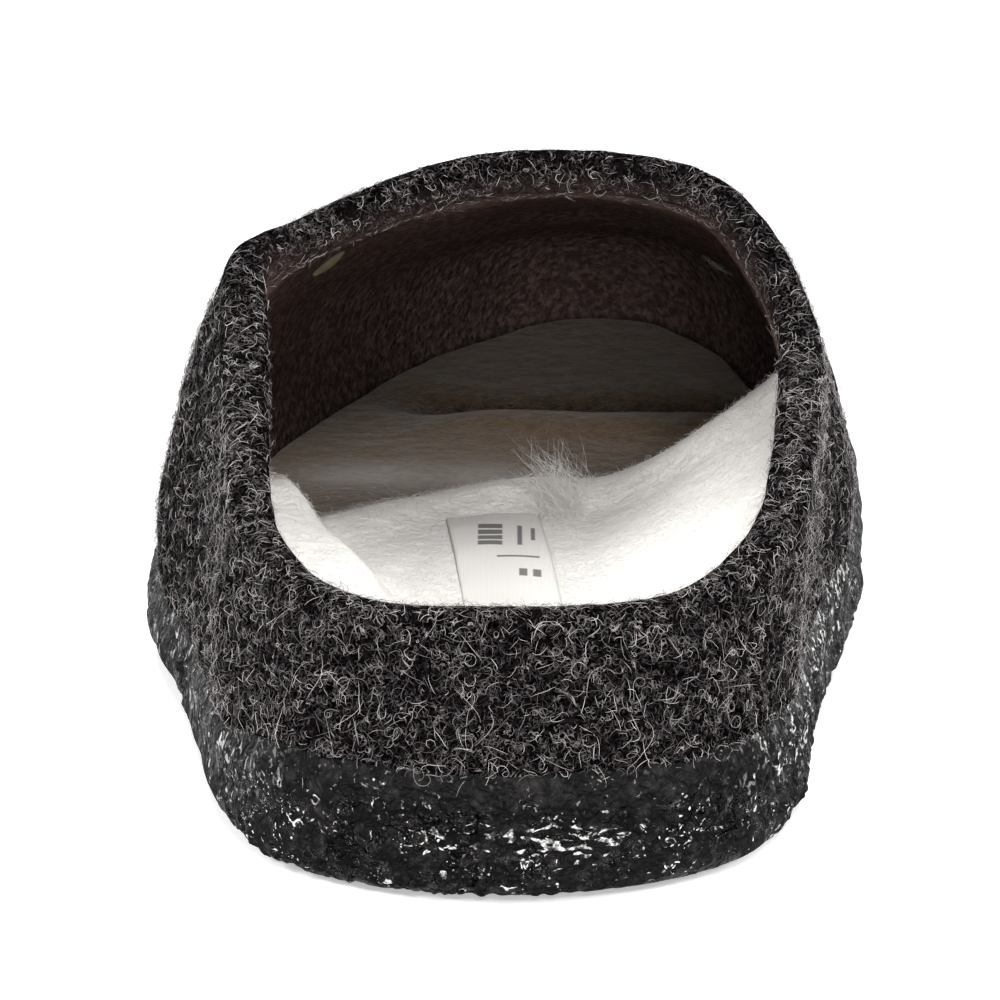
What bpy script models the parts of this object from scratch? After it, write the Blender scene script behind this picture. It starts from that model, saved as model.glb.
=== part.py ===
"""A left clog slipper: a seamless wool felt upper, a dipped rubber sole, a loose wool insole and its label.

Metres, +Z up. The toe points along +Y and the inner side of the foot, called medial, lies at +X.
The floor is at z = 0 and the origin is the middle of the slipper's footprint.
"""

from typing import NamedTuple

import bpy
import numpy as np
from mathutils import Matrix, Vector

# The last, measured over the felt
LENGTH = 0.2490
BALL_WIDTH = 0.1065
HEEL_WIDTH = 0.0890
RIM_HEIGHT = 0.0385
INSTEP_HEIGHT = 0.0745
OPENING_LENGTH = 0.1095
OPENING_WIDTH = 0.0840
WIDEST_HEIGHT = 0.0150
FOOT_INSET = 0.0050
ARCH_LIFT = 0.0015
ARCH_ALONG = (0.24, 0.56)
ARCH_FADE = 0.12
TOE_SPRING = 0.0035
TOE_SPRING_START = 0.74

# Walls and clearance
FELT = 0.0060
EDGE_ROUND = 0.0012
COAT_BOTTOM = 0.0030
COAT_SIDE = 0.0012
COAT_HEIGHT = 0.0180
COAT_THIN_HEIGHT = 0.0075
GAP = 0.0003

# The insole, and the two places where its border is turned up
INSOLE = 0.0050
INSOLE_INSET = 0.0090
INSOLE_TOE_ROOM = 0.0020
INSOLE_ROUND = 0.0012
INSOLE_END = 0.0320
MEDIAL_BANK = 0.0200
MEDIAL_CREST = 0.1310
MEDIAL_FALL = 0.0280
MEDIAL_AT_HEEL = 0.2
MEDIAL_CURVE = 1.4
LATERAL_BANK = 0.0090
LATERAL_CREST = 0.0920
LATERAL_FALL = 0.0120
LATERAL_CURVE = 0.7
LATERAL_SLANT = 2.5
LATERAL_MIDDLE = 0.0255

# The woven label
LABEL_LENGTH = 0.0470
LABEL_WIDTH = 0.0140
LABEL = 0.0006
LABEL_PLACE = 0.0965
LABEL_SHIFT = -0.0018

# How finely the forms are cut
STATIONS = 40
UPPER_LEVELS = 15
SOLE_LEVELS = 8
INSOLE_RINGS = (0.28, 0.46, 0.64, 0.8, 0.92, 1.0)
FLAT_SHARE = INSOLE_RINGS[0]
LABEL_CELLS = 6
LOW_CROWDING = 1.25
SHARP_ANGLE = 50

FELT_BASE = COAT_BOTTOM + GAP
HEEL_END = 0.2
BALL_START = 0.5
CORNER_ALONG = 0.375


class Rib(NamedTuple):
    """One line up the felt, from the foot's outline to the edge of the opening."""

    name: str
    along: float  # widest point, share of LENGTH from the heel
    across: float  # widest point, share of half the width there, medial positive
    edge_along: float  # top edge, share of OPENING_LENGTH
    edge_across: float  # top edge, share of half OPENING_WIDTH
    climb: float  # top edge's height, 0 at RIM_HEIGHT and 1 at INSTEP_HEIGHT
    widest: float  # height of the widest point, share of WIDEST_HEIGHT
    low_reach: float  # lower shoulder, share of the way in from widest point to edge
    low_rise: float  # lower shoulder, share of the way up
    high_reach: float
    high_rise: float


HEEL = Rib("heel", 0.0, -0.033, 0.032, -0.035, 0.0, 1.0, 0.33, 0.33, 0.66, 0.66)
TOE = Rib("toe", 1.0, 0.277, 1.0, 0.256, 1.0, 0.52, 0.05, 0.30, 0.24, 0.50)
LATERAL = (
    Rib("heel curve", 0.048, -0.692, 0.140, -0.656, 0.0, 1.0, 0.33, 0.33, 0.66, 0.66),
    Rib("heel side", 0.121, -0.876, 0.288, -0.877, 0.092, 1.0, 0.33, 0.33, 0.66, 0.66),
    Rib("waist", 0.212, -0.962, 0.489, -0.935, 0.300, 1.0, 0.30, 0.33, 0.62, 0.67),
    Rib("side", 0.300, -1.002, 0.689, -0.950, 0.515, 1.0, 0.28, 0.34, 0.56, 0.68),
    Rib("corner", CORNER_ALONG, -1.028, 0.863, -0.975, 0.732, 1.0, 0.26, 0.35, 0.54, 0.68),
    Rib("vamp", 0.580, -0.957, 0.918, -0.701, 0.813, 0.52, 0.09, 0.38, 0.34, 0.66),
    Rib("ball", 0.760, -0.718, 0.963, -0.396, 0.925, 0.52, 0.06, 0.36, 0.26, 0.60),
    Rib("toe side", 0.925, -0.290, 0.991, -0.054, 1.0, 0.52, 0.055, 0.32, 0.25, 0.52),
    Rib("toe curve", 0.977, -0.048, 0.998, 0.110, 1.003, 0.52, 0.05, 0.31, 0.24, 0.51),
)
MEDIAL = (
    Rib("heel curve", 0.048, 0.636, 0.143, 0.620, 0.005, 1.0, 0.33, 0.33, 0.66, 0.66),
    Rib("heel side", 0.121, 0.816, 0.279, 0.865, 0.098, 1.0, 0.33, 0.33, 0.66, 0.66),
    Rib("waist", 0.212, 0.882, 0.470, 0.970, 0.275, 1.1, 0.30, 0.34, 0.64, 0.66),
    Rib("side", 0.300, 0.916, 0.635, 1.001, 0.365, 1.25, 0.24, 0.36, 0.62, 0.66),
    Rib("corner", CORNER_ALONG, 0.942, 0.772, 1.018, 0.435, 1.3, 0.20, 0.34, 0.60, 0.64),
    Rib("vamp", 0.580, 0.968, 0.836, 0.978, 0.550, 0.60, 0.10, 0.22, 0.40, 0.46),
    Rib("ball", 0.760, 0.955, 0.918, 0.862, 0.760, 0.52, 0.06, 0.20, 0.28, 0.40),
    Rib("toe side", 0.925, 0.755, 0.982, 0.605, 0.955, 0.52, 0.055, 0.28, 0.25, 0.48),
    Rib("toe curve", 0.977, 0.575, 0.995, 0.410, 0.988, 0.52, 0.05, 0.30, 0.24, 0.49),
)
LOOP = (HEEL, *LATERAL, TOE, *reversed(MEDIAL))
CORNER_ROW = [rib.name for rib in LOOP].index("corner")

# The rounded foot below the widest line: inset as a share of FOOT_INSET, rise as a share of the line's height
FOOT_ROUND = ((1.0, 0.0), (0.42, 0.07), (0.14, 0.36))


def ease(share):
    """A smooth step from 0 to 1 over a share clipped to that range."""
    share = np.clip(share, 0.0, 1.0)
    return share * share * (3.0 - 2.0 * share)


def lift(y):
    """Height of the underside over the floor: flat heel and ball, a slight arch and the toe spring."""
    along = y / LENGTH + 0.5
    arch = ease((along - ARCH_ALONG[0]) / ARCH_FADE) * ease((ARCH_ALONG[1] - along) / ARCH_FADE)
    toe = np.clip((along - TOE_SPRING_START) / (1 - TOE_SPRING_START), 0.0, 1.0) ** 2
    return ARCH_LIFT * arch + TOE_SPRING * toe


def half_width(along):
    """Half the felt's nominal width, blended from heel to ball."""
    return HEEL_WIDTH / 2 + (BALL_WIDTH - HEEL_WIDTH) / 2 * ease((along - HEEL_END) / (BALL_START - HEEL_END))


def three_point_slopes(knots, values):
    """Slopes of the parabola through each point and its two neighbours, with plain secants at the ends."""
    steps = np.diff(knots, axis=0)
    secants = np.diff(values, axis=0) / steps
    inner = (secants[:-1] * steps[1:] + secants[1:] * steps[:-1]) / (steps[:-1] + steps[1:])
    return np.concatenate([secants[:1], inner, secants[-1:]])


def hermite(knots, values, start_slopes, end_slopes, places):
    """Cubic pieces between knots: each piece leaves with its start slope and arrives with its end slope."""
    result = np.zeros(np.broadcast_shapes(places.shape, values.shape[1:])) if places.ndim > 1 else None
    if result is None:
        result = np.zeros((len(places), *values.shape[1:]))
        places = places.reshape(-1, *[1] * (values.ndim - 1))
    for piece in range(len(knots) - 1):
        width = knots[piece + 1] - knots[piece]
        share = np.clip((places - knots[piece]) / width, 0.0, 1.0)
        square = share * share
        cube = square * share
        curve = (
            (2 * cube - 3 * square + 1) * values[piece]
            + (cube - 2 * square + share) * width * start_slopes[piece]
            + (3 * square - 2 * cube) * values[piece + 1]
            + (cube - square) * width * end_slopes[piece]
        )
        result = np.where(places >= knots[piece], curve, result)
    return result


class Outline:
    """Every rib's values, read anywhere around the slipper from the smooth loop through the table."""

    def __init__(self):
        rows = np.array([rib[1:] for rib in LOOP])
        x = rows[:, 1] * half_width(rows[:, 0])
        y = (rows[:, 0] - 0.5) * LENGTH
        edge_x = rows[:, 3] * OPENING_WIDTH / 2
        edge_y = rows[:, 2] * OPENING_LENGTH - LENGTH / 2
        edge_z = RIM_HEIGHT + rows[:, 4] * (INSTEP_HEIGHT - RIM_HEIGHT)
        table = np.column_stack([x, y, edge_x, edge_y, edge_z, rows[:, 5:]])
        count = len(table)
        around = np.concatenate([table[-2:], table, table[:3]])
        chords = np.linalg.norm(np.diff(around[:, :2], axis=0), axis=1)
        knots = np.concatenate([[0.0], np.cumsum(chords)])
        slopes = three_point_slopes(knots[:, None], around)
        leaving, arriving = slopes.copy(), slopes.copy()
        secants = np.diff(around, axis=0) / np.diff(knots)[:, None]
        for corner in (2 + CORNER_ROW, 2 + count - CORNER_ROW):
            leaving[corner, 2:5] = secants[corner, 2:5]
            arriving[corner, 2:5] = secants[corner - 1, 2:5]
        kept = slice(2, count + 3)
        self.knots = knots[kept] - knots[2]
        self.values = around[kept]
        self.leaving = leaving[kept]
        self.arriving = arriving[kept][1:]
        self.toe_knot = self.knots[len(LATERAL) + 1]

    def at(self, places):
        return hermite(self.knots, self.values, self.leaving, self.arriving, places)

    def ring(self):
        """Rib values at the stations: up the lateral side from heel to toe, then back down the medial one."""
        half = STATIONS // 2
        rear = CORNER_ALONG * (1 - np.cos(np.linspace(0, np.pi / 2, half)))
        front = CORNER_ALONG + (1 - CORNER_ALONG) * np.sin(np.linspace(0, np.pi / 2, STATIONS - half + 2))
        along = np.concatenate([rear, front[1:]])
        dense = np.linspace(0, self.toe_knot, 2000)
        lateral = np.interp(along, self.at(dense)[:, 1] / LENGTH + 0.5, dense)
        dense = np.linspace(self.knots[-1], self.toe_knot, 2000)
        medial = np.interp(along, self.at(dense)[:, 1] / LENGTH + 0.5, dense)
        return self.at(np.concatenate([lateral, medial[-2:0:-1]]))


def inward(loop):
    """Unit plan directions into a closed loop that runs lateral side first, seen from above."""
    tangent = np.roll(loop, -1, axis=0) - np.roll(loop, 1, axis=0)
    tangent /= np.linalg.norm(tangent, axis=1, keepdims=True)
    return np.column_stack([tangent[:, 1], -tangent[:, 0]])


class Last:
    """The felt's outer surface: a ring of ribs, each read from its foot at level 0 to its edge at level 1."""

    def __init__(self, outline):
        ring = outline.ring()
        self.plan = ring[:, :2]
        self.inward = inward(self.plan)
        widest = WIDEST_HEIGHT * ring[:, 5]
        edge = ring[:, 2:5]
        keys = []
        for inset, rise in FOOT_ROUND:
            place = self.plan + self.inward * FOOT_INSET * inset
            keys.append(np.column_stack([place, FELT_BASE + lift(place[:, 1]) + rise * widest]))
        middle = np.column_stack([self.plan, FELT_BASE + lift(self.plan[:, 1]) + widest])
        keys.append(middle)
        for reach, rise in ((ring[:, 6], ring[:, 7]), (ring[:, 8], ring[:, 9])):
            shares = np.column_stack([reach, reach, rise])
            keys.append(middle + (edge - middle) * shares)
        keys.append(edge)
        self.keys = np.array(keys)
        steps = np.linalg.norm(np.diff(self.keys, axis=0), axis=2)
        lengths = np.concatenate([np.zeros((1, len(ring))), np.cumsum(steps, axis=0)])
        self.knots = (lengths / lengths[-1])[:, :, None]
        self.slopes = three_point_slopes(self.knots, self.keys)

    def points(self, levels):
        """Points at levels given as rows by ribs."""
        return hermite(self.knots, self.keys, self.slopes, self.slopes[1:], levels[:, :, None])

    def level_at(self, height):
        """The level at which each rib passes a height over the floor under it."""
        dense = np.linspace(0, 1, 200)
        heights = self.points(np.repeat(dense[:, None], len(self.plan), axis=1))[:, :, 2]
        heights = heights - lift(self.plan[:, 1])
        return np.array([np.interp(height, heights[:, rib], dense) for rib in range(len(self.plan))])


def side_edges(loop, y):
    """Plan x of a loop's lateral and medial side at a place along the slipper."""
    half = len(loop) // 2
    lateral = loop[: half + 1]
    medial = np.concatenate([loop[:1], loop[: half - 1 : -1]])
    return tuple(np.interp(y, side[:, 1], side[:, 0]) for side in (lateral, medial))


def normals_of(grid):
    """Outward normals of a grid of rows by ribs that closes around its ribs. The first row looks down."""
    around = np.roll(grid, -1, axis=1) - np.roll(grid, 1, axis=1)
    up = np.gradient(grid, axis=0)
    normal = np.cross(up, around)
    normal /= np.linalg.norm(normal, axis=2, keepdims=True)
    normal[0] = (0, 0, -1)
    return normal


def tray_faces(rows, ribs):
    """Faces of a tray: rungs across its floor, from one side's ribs to the other's, and its walls."""
    half = ribs // 2
    faces = [(0, 1, ribs - 1), (half - 1, half, half + 1)]
    faces += [(i, i + 1, ribs - i - 1, ribs - i) for i in range(1, half - 1)]
    for row in range(rows - 1):
        for rib in range(ribs):
            after = (rib + 1) % ribs
            first = row * ribs
            faces.append((first + after, first + rib, first + ribs + rib, first + ribs + after))
    return faces


def sheet_faces(rows, columns):
    """Faces of an open grid, facing up where rows run along +Y and columns along +X."""
    faces = []
    for row in range(rows - 1):
        for column in range(columns - 1):
            first = row * columns + column
            faces.append((first, first + 1, first + columns + 1, first + columns))
    return faces


def material(name, colour, roughness):
    made = bpy.data.materials.new(name)
    made.use_nodes = True
    made.diffuse_color = (*colour, 1.0)
    shader = made.node_tree.nodes["Principled BSDF"]
    shader.inputs["Base Color"].default_value = (*colour, 1.0)
    shader.inputs["Roughness"].default_value = roughness
    shader.inputs["Metallic"].default_value = 0.0
    return made


def add_object(name, points, faces, finish, collection):
    mesh = bpy.data.meshes.new(name)
    mesh.from_pydata(points.reshape(-1, 3).tolist(), [], faces)
    mesh.validate()
    mesh.materials.append(finish)
    made = bpy.data.objects.new(name, mesh)
    collection.objects.link(made)
    return made


def thicken(target, thickness, side):
    """Solidify the open surface of an object, towards its faces' side (1) or away from it (-1)."""
    shell = target.modifiers.new("Wall", "SOLIDIFY")
    shell.thickness = thickness
    shell.offset = side
    shell.use_even_offset = True
    shell.use_quality_normals = True
    return shell


def round_edges(target, width, segments, angle):
    bevel = target.modifiers.new("Soft edges", "BEVEL")
    bevel.width = width
    bevel.segments = segments
    bevel.use_clamp_overlap = False
    bevel.limit_method = "ANGLE"
    bevel.angle_limit = np.radians(angle)


def shade_round(target, angle):
    target.data.shade_smooth()
    target.data.set_sharp_from_angle(angle=np.radians(angle))


def even_levels(count, last):
    """Rows of levels from the foot to each rib's last level, closer together low down."""
    shares = np.linspace(0, 1, count) ** LOW_CROWDING
    return shares[:, None] * last[None, :]


def add_upper(last, collection):
    """The felt: walls, vamp and the felted-in bottom are one shell, open at the top only."""
    top = np.ones(len(last.plan))
    grid = last.points(even_levels(UPPER_LEVELS, top))
    finish = material("charcoal wool felt", (0.030, 0.028, 0.032), 0.95)
    upper = add_object("upper", grid, tray_faces(*grid.shape[:2]), finish, collection)
    thicken(upper, FELT, -1)
    round_edges(upper, EDGE_ROUND, 2, 60)
    shade_round(upper, SHARP_ANGLE)
    return upper


def add_sole(last, collection):
    """The dipped rubber: a thick floor and a thin wall that hugs the felt up to the coat's top line."""
    coat_top = last.level_at(COAT_HEIGHT)
    levels = even_levels(SOLE_LEVELS, coat_top)
    grid = last.points(levels)
    grid += normals_of(grid) * GAP
    finish = material("black dipped rubber", (0.008, 0.008, 0.009), 0.35)
    sole = add_object("sole", grid, tray_faces(*grid.shape[:2]), finish, collection)
    group = sole.vertex_groups.new(name="Coat thickness")
    heights = np.clip((grid[:, :, 2] - FELT_BASE - lift(grid[:, :, 1])) / COAT_THIN_HEIGHT, 0, 1)
    shares = 1 - (1 - COAT_SIDE / COAT_BOTTOM) * ease(heights)
    for index, share in enumerate(shares.reshape(-1)):
        group.add([index], float(share), "REPLACE")
    wall = thicken(sole, COAT_BOTTOM, 1)
    wall.vertex_group = group.name
    shade_round(sole, SHARP_ANGLE)
    return sole


class InsoleForm:
    """The loose insole's underside: a floor on the felt with its border turned up as two soft banks."""

    def __init__(self, last):
        plan = last.plan
        half = len(plan) // 2
        y = np.clip(plan[:, 1], plan[0, 1] + INSOLE_END, plan[half, 1] - INSOLE_END)
        self.spine = np.column_stack([sum(side_edges(plan, y)) / 2, y])
        towards = self.spine - plan
        towards /= np.linalg.norm(towards, axis=1, keepdims=True)
        toe_share = ease((plan[:, 1:] / LENGTH + 0.5 - BALL_START) / (1 - BALL_START))
        self.loop = plan + towards * (INSOLE_INSET + INSOLE_TOE_ROOM * toe_share)

    def height(self, x, y):
        """Floor, medial bank with a crest that drops towards the toe, and the slanting lateral bank."""
        lateral, medial = side_edges(self.loop, y)
        middle = (lateral + medial) / 2
        half = np.maximum((medial - lateral) / 2, INSOLE)
        reach = np.clip(((x - middle) / half - FLAT_SHARE) / (1 - FLAT_SHARE), 0, 1)
        from_heel = y + LENGTH / 2
        grow = MEDIAL_AT_HEEL + (1 - MEDIAL_AT_HEEL) * ease(from_heel / MEDIAL_CREST)
        drop = ease((MEDIAL_CREST + MEDIAL_FALL - from_heel) / MEDIAL_FALL)
        bank = MEDIAL_BANK * reach**MEDIAL_CURVE * grow * drop
        reach = np.clip(((middle - x) / half - FLAT_SHARE) / (1 - FLAT_SHARE), 0, 1)
        front = LATERAL_CREST - LATERAL_SLANT * (x + LATERAL_MIDDLE)
        drop = ease((front + LATERAL_FALL - from_heel) / LATERAL_FALL)
        flap = LATERAL_BANK * reach**LATERAL_CURVE * ease(from_heel / LATERAL_CREST) * drop
        return FELT_BASE + FELT + GAP + lift(y) + bank + flap


def add_insole(form, collection):
    """The wool footbed, a sheet of even thickness with its rounded edge, laid loose on the felt."""
    shares = np.array(INSOLE_RINGS)[:, None, None]
    plan = form.spine + (form.loop - form.spine) * shares
    grid = np.dstack([plan, form.height(plan[:, :, 0], plan[:, :, 1])])
    finish = material("white wool", (0.82, 0.80, 0.76), 0.95)
    insole = add_object("insole", grid, tray_faces(*grid.shape[:2]), finish, collection)
    thicken(insole, INSOLE, -1)
    round_edges(insole, INSOLE_ROUND, 2, 60)
    shade_round(insole, SHARP_ANGLE)
    return insole


def add_label(form, collection):
    """The woven label, lying on the insole along the foot."""
    x = LABEL_SHIFT + np.linspace(-LABEL_WIDTH / 2, LABEL_WIDTH / 2, 3)
    y = LABEL_PLACE - LENGTH / 2 + np.linspace(-LABEL_LENGTH / 2, LABEL_LENGTH / 2, LABEL_CELLS + 1)
    plan_x, plan_y = np.meshgrid(x, y)
    grid = np.dstack([plan_x, plan_y, form.height(plan_x, plan_y) + INSOLE + GAP])
    finish = material("woven label", (0.80, 0.80, 0.78), 0.8)
    label = add_object("label", grid, sheet_faces(*grid.shape[:2]), finish, collection)
    thicken(label, LABEL, 1)
    shade_round(label, SHARP_ANGLE)
    return label


def clear_scene():
    for existing in list(bpy.data.objects):
        bpy.data.objects.remove(existing, do_unlink=True)


def centre(objects):
    """Move the meshes together in plan, so that the origin is the middle of the finished box."""
    graph = bpy.context.evaluated_depsgraph_get()
    corners = np.array([corner[:] for each in objects for corner in each.evaluated_get(graph).bound_box])
    middle = (corners.min(axis=0) + corners.max(axis=0)) / 2
    for each in objects:
        each.data.transform(Matrix.Translation(Vector((-middle[0], -middle[1], 0.0))))


def main():
    clear_scene()
    collection = bpy.data.collections.new("Clog slipper")
    bpy.context.scene.collection.children.link(collection)
    last = Last(Outline())
    form = InsoleForm(last)
    add_upper(last, collection)
    add_sole(last, collection)
    add_insole(form, collection)
    add_label(form, collection)
    centre(list(collection.objects))


main()
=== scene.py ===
"""The looks of a left clog slipper: charcoal wool felt, a dipped rubber sole, a white wool insole, a label.

Metres, +Z up. The toe points along +Y and the inner side of the foot, called medial, lies at +X.
"""

import logging
import math
from dataclasses import dataclass
from dataclasses import field
from dataclasses import replace
from enum import Enum
from itertools import product
from typing import NamedTuple

import bpy
import numpy as np
from mathutils import Matrix
from mathutils import Vector


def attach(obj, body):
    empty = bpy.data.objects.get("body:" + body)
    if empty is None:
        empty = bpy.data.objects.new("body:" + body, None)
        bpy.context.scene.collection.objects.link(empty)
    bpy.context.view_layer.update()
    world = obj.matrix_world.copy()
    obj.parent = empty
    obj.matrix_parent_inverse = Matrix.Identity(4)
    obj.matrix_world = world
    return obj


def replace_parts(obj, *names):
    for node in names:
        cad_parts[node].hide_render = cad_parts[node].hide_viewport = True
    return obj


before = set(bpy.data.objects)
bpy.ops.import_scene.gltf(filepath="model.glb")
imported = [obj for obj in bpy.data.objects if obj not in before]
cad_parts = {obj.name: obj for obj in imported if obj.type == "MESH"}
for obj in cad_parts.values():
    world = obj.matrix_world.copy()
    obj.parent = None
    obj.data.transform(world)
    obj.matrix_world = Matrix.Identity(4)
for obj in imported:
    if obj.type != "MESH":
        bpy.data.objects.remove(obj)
LOG = logging.getLogger("clog slipper")
BODY = "root"

Array = np.ndarray
Colour = tuple[float, float, float]
Triple = tuple[float, float, float]
Socket = bpy.types.NodeSocket
Piece = bpy.types.Object

# The last, measured over the felt
LENGTH = 0.2490
BALL_WIDTH = 0.1065
HEEL_WIDTH = 0.0890
RIM_HEIGHT = 0.0385
INSTEP_HEIGHT = 0.0745
OPENING_LENGTH = 0.1095
OPENING_WIDTH = 0.0840
WIDEST_HEIGHT = 0.0150
FOOT_INSET = 0.0050
ARCH_LIFT = 0.0015
ARCH_ALONG = (0.24, 0.56)
ARCH_FADE = 0.12
TOE_SPRING = 0.0035
TOE_SPRING_START = 0.74

# Walls and clearance
FELT = 0.0060
COAT_BOTTOM = 0.0030
COAT_SIDE = 0.0012
GAP = 0.0003
FELT_BASE = COAT_BOTTOM + GAP

# Shares of the length where the outline changes, and how the surface is cut up
HEEL_END = 0.2
BALL_START = 0.5
CORNER_ALONG = 0.375
LOW_CROWDING = 1.25
EDGE_SOFTNESS = 0.0040


class Rib(NamedTuple):
    """One line up the felt, from the foot's outline to the edge of the opening."""

    name: str
    along: float
    across: float
    edge_along: float
    edge_across: float
    climb: float
    widest: float
    low_reach: float
    low_rise: float
    high_reach: float
    high_rise: float


HEEL = Rib("heel", 0.0, -0.033, 0.032, -0.035, 0.0, 1.0, 0.33, 0.33, 0.66, 0.66)
TOE = Rib("toe", 1.0, 0.277, 1.0, 0.256, 1.0, 0.52, 0.05, 0.30, 0.24, 0.50)
LATERAL = (
    Rib("heel curve", 0.048, -0.692, 0.140, -0.656, 0.0, 1.0, 0.33, 0.33, 0.66, 0.66),
    Rib("heel side", 0.121, -0.876, 0.288, -0.877, 0.092, 1.0, 0.33, 0.33, 0.66, 0.66),
    Rib("waist", 0.212, -0.962, 0.489, -0.935, 0.300, 1.0, 0.30, 0.33, 0.62, 0.67),
    Rib("side", 0.300, -1.002, 0.689, -0.950, 0.515, 1.0, 0.28, 0.34, 0.56, 0.68),
    Rib("corner", CORNER_ALONG, -1.028, 0.863, -0.975, 0.732, 1.0, 0.26, 0.35, 0.54, 0.68),
    Rib("vamp", 0.580, -0.957, 0.918, -0.701, 0.813, 0.52, 0.09, 0.38, 0.34, 0.66),
    Rib("ball", 0.760, -0.718, 0.963, -0.396, 0.925, 0.52, 0.06, 0.36, 0.26, 0.60),
    Rib("toe side", 0.925, -0.290, 0.991, -0.054, 1.0, 0.52, 0.055, 0.32, 0.25, 0.52),
    Rib("toe curve", 0.977, -0.048, 0.998, 0.110, 1.003, 0.52, 0.05, 0.31, 0.24, 0.51),
)
MEDIAL = (
    Rib("heel curve", 0.048, 0.636, 0.143, 0.620, 0.005, 1.0, 0.33, 0.33, 0.66, 0.66),
    Rib("heel side", 0.121, 0.816, 0.279, 0.865, 0.098, 1.0, 0.33, 0.33, 0.66, 0.66),
    Rib("waist", 0.212, 0.882, 0.470, 0.970, 0.275, 1.1, 0.30, 0.34, 0.64, 0.66),
    Rib("side", 0.300, 0.916, 0.635, 1.001, 0.365, 1.25, 0.24, 0.36, 0.62, 0.66),
    Rib("corner", CORNER_ALONG, 0.942, 0.772, 1.018, 0.435, 1.3, 0.20, 0.34, 0.60, 0.64),
    Rib("vamp", 0.580, 0.968, 0.836, 0.978, 0.550, 0.60, 0.10, 0.22, 0.40, 0.46),
    Rib("ball", 0.760, 0.955, 0.918, 0.862, 0.760, 0.52, 0.06, 0.20, 0.28, 0.40),
    Rib("toe side", 0.925, 0.755, 0.982, 0.605, 0.955, 0.52, 0.055, 0.28, 0.25, 0.48),
    Rib("toe curve", 0.977, 0.575, 0.995, 0.410, 0.988, 0.52, 0.05, 0.30, 0.24, 0.49),
)
LOOP = (HEEL, *LATERAL, TOE, *reversed(MEDIAL))
CORNER_ROW = [rib.name for rib in LOOP].index("corner")
FOOT_ROUND = ((1.0, 0.0), (0.42, 0.07), (0.14, 0.36))


class Side(Enum):
    """Which stretch of the outside a field of fibres grows on."""

    HEEL = "heel"
    LATERAL = "lateral"
    MEDIAL = "medial"


def ease(share: Array) -> Array:
    """A smooth step, 3s^2 - 2s^3 of the share clipped to 0..1.

    Args:
        share: Any numbers.

    Returns:
        Numbers from 0 to 1.
    """
    share = np.clip(share, 0.0, 1.0)
    return share * share * (3.0 - 2.0 * share)


def unit(vectors: Array) -> Array:
    """Each vector over its own length.

    Args:
        vectors: An array whose last axis holds x, y and z.

    Returns:
        The same array with every vector one long.
    """
    lengths = np.linalg.norm(vectors, axis=-1, keepdims=True)
    return vectors / np.maximum(lengths, 1e-12)


def lattice_noise(points: Array, wavelength: float, seed: int) -> Array:
    """Smooth lumps: random values at the corners of a cubic lattice, blended by smooth steps in each cell.

    Args:
        points: Places, with x, y and z on the last axis.
        wavelength: Size of a lattice cell in metres.
        seed: Which set of random values.

    Returns:
        One number from -1 to 1 for each place.
    """
    cells = points / wavelength
    base = np.floor(cells).astype(np.int64)
    blend = ease(cells - base)
    total = np.zeros(points.shape[:-1])
    for corner in product((0, 1), repeat=3):
        index = base + np.array(corner)
        mixed = index[..., 0] * 73856093 ^ index[..., 1] * 19349663 ^ index[..., 2] * 83492791 ^ seed * 7919
        mixed = (mixed ^ (mixed >> 13)) * 1274126177 & 0xFFFFFFFF
        value = ((mixed ^ (mixed >> 16)) & 0xFFFF) / 32767.5 - 1.0
        weight = np.prod(np.where(corner, blend, 1.0 - blend), axis=-1)
        total += value * weight
    return total


def bell(places: Array, reach: float) -> Array:
    """A bell curve, 1 at place 0 and 1/e at the reach."""
    return np.exp(-((places / reach) ** 2))


class Lumps(NamedTuple):
    """One layer of soft relief: its height, the size of its lumps and its set of random values."""

    height: float
    size: float
    seed: int

    def over(self, points: Array) -> Array:
        """The relief at points, between minus and plus its height."""
        return self.height * lattice_noise(points, self.size, self.seed)


class Hill(NamedTuple):
    """A round hill of height 1: its middle across and along, and its reach both ways."""

    across: float
    along: float
    reach_across: float
    reach_along: float

    def over(self, across: Array, along: Array) -> Array:
        """The hill's height at places.

        Args:
            across: The places across.
            along: The places along, in the unit of the hill's own.

        Returns:
            Numbers from 0 to 1.
        """
        aside = (across - self.across) / self.reach_across
        away = (along - self.along) / self.reach_along
        return np.exp(-(aside**2 + away**2))


def lift(y: Array) -> Array:
    """Height of the underside over the floor: flat heel and ball, a slight arch and the toe spring.

    Args:
        y: Places along the slipper.

    Returns:
        Heights in metres.
    """
    along = y / LENGTH + 0.5
    arch = ease((along - ARCH_ALONG[0]) / ARCH_FADE) * ease((ARCH_ALONG[1] - along) / ARCH_FADE)
    toe = np.clip((along - TOE_SPRING_START) / (1 - TOE_SPRING_START), 0.0, 1.0) ** 2
    return ARCH_LIFT * arch + TOE_SPRING * toe


def half_width(along: Array) -> Array:
    """Half the felt's nominal width, eased from heel to ball.

    Args:
        along: Shares of the length from the heel.

    Returns:
        Half widths in metres.
    """
    return HEEL_WIDTH / 2 + (BALL_WIDTH - HEEL_WIDTH) / 2 * ease((along - HEEL_END) / (BALL_START - HEEL_END))


def three_point_slopes(knots: Array, values: Array) -> Array:
    """Slopes of the parabola through each point and its two neighbours, with plain secants at the ends.

    Args:
        knots: Rising places of the points.
        values: The points' values.

    Returns:
        One slope for each point.
    """
    steps = np.diff(knots, axis=0)
    secants = np.diff(values, axis=0) / steps
    inner = (secants[:-1] * steps[1:] + secants[1:] * steps[:-1]) / (steps[:-1] + steps[1:])
    return np.concatenate([secants[:1], inner, secants[-1:]])


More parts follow.
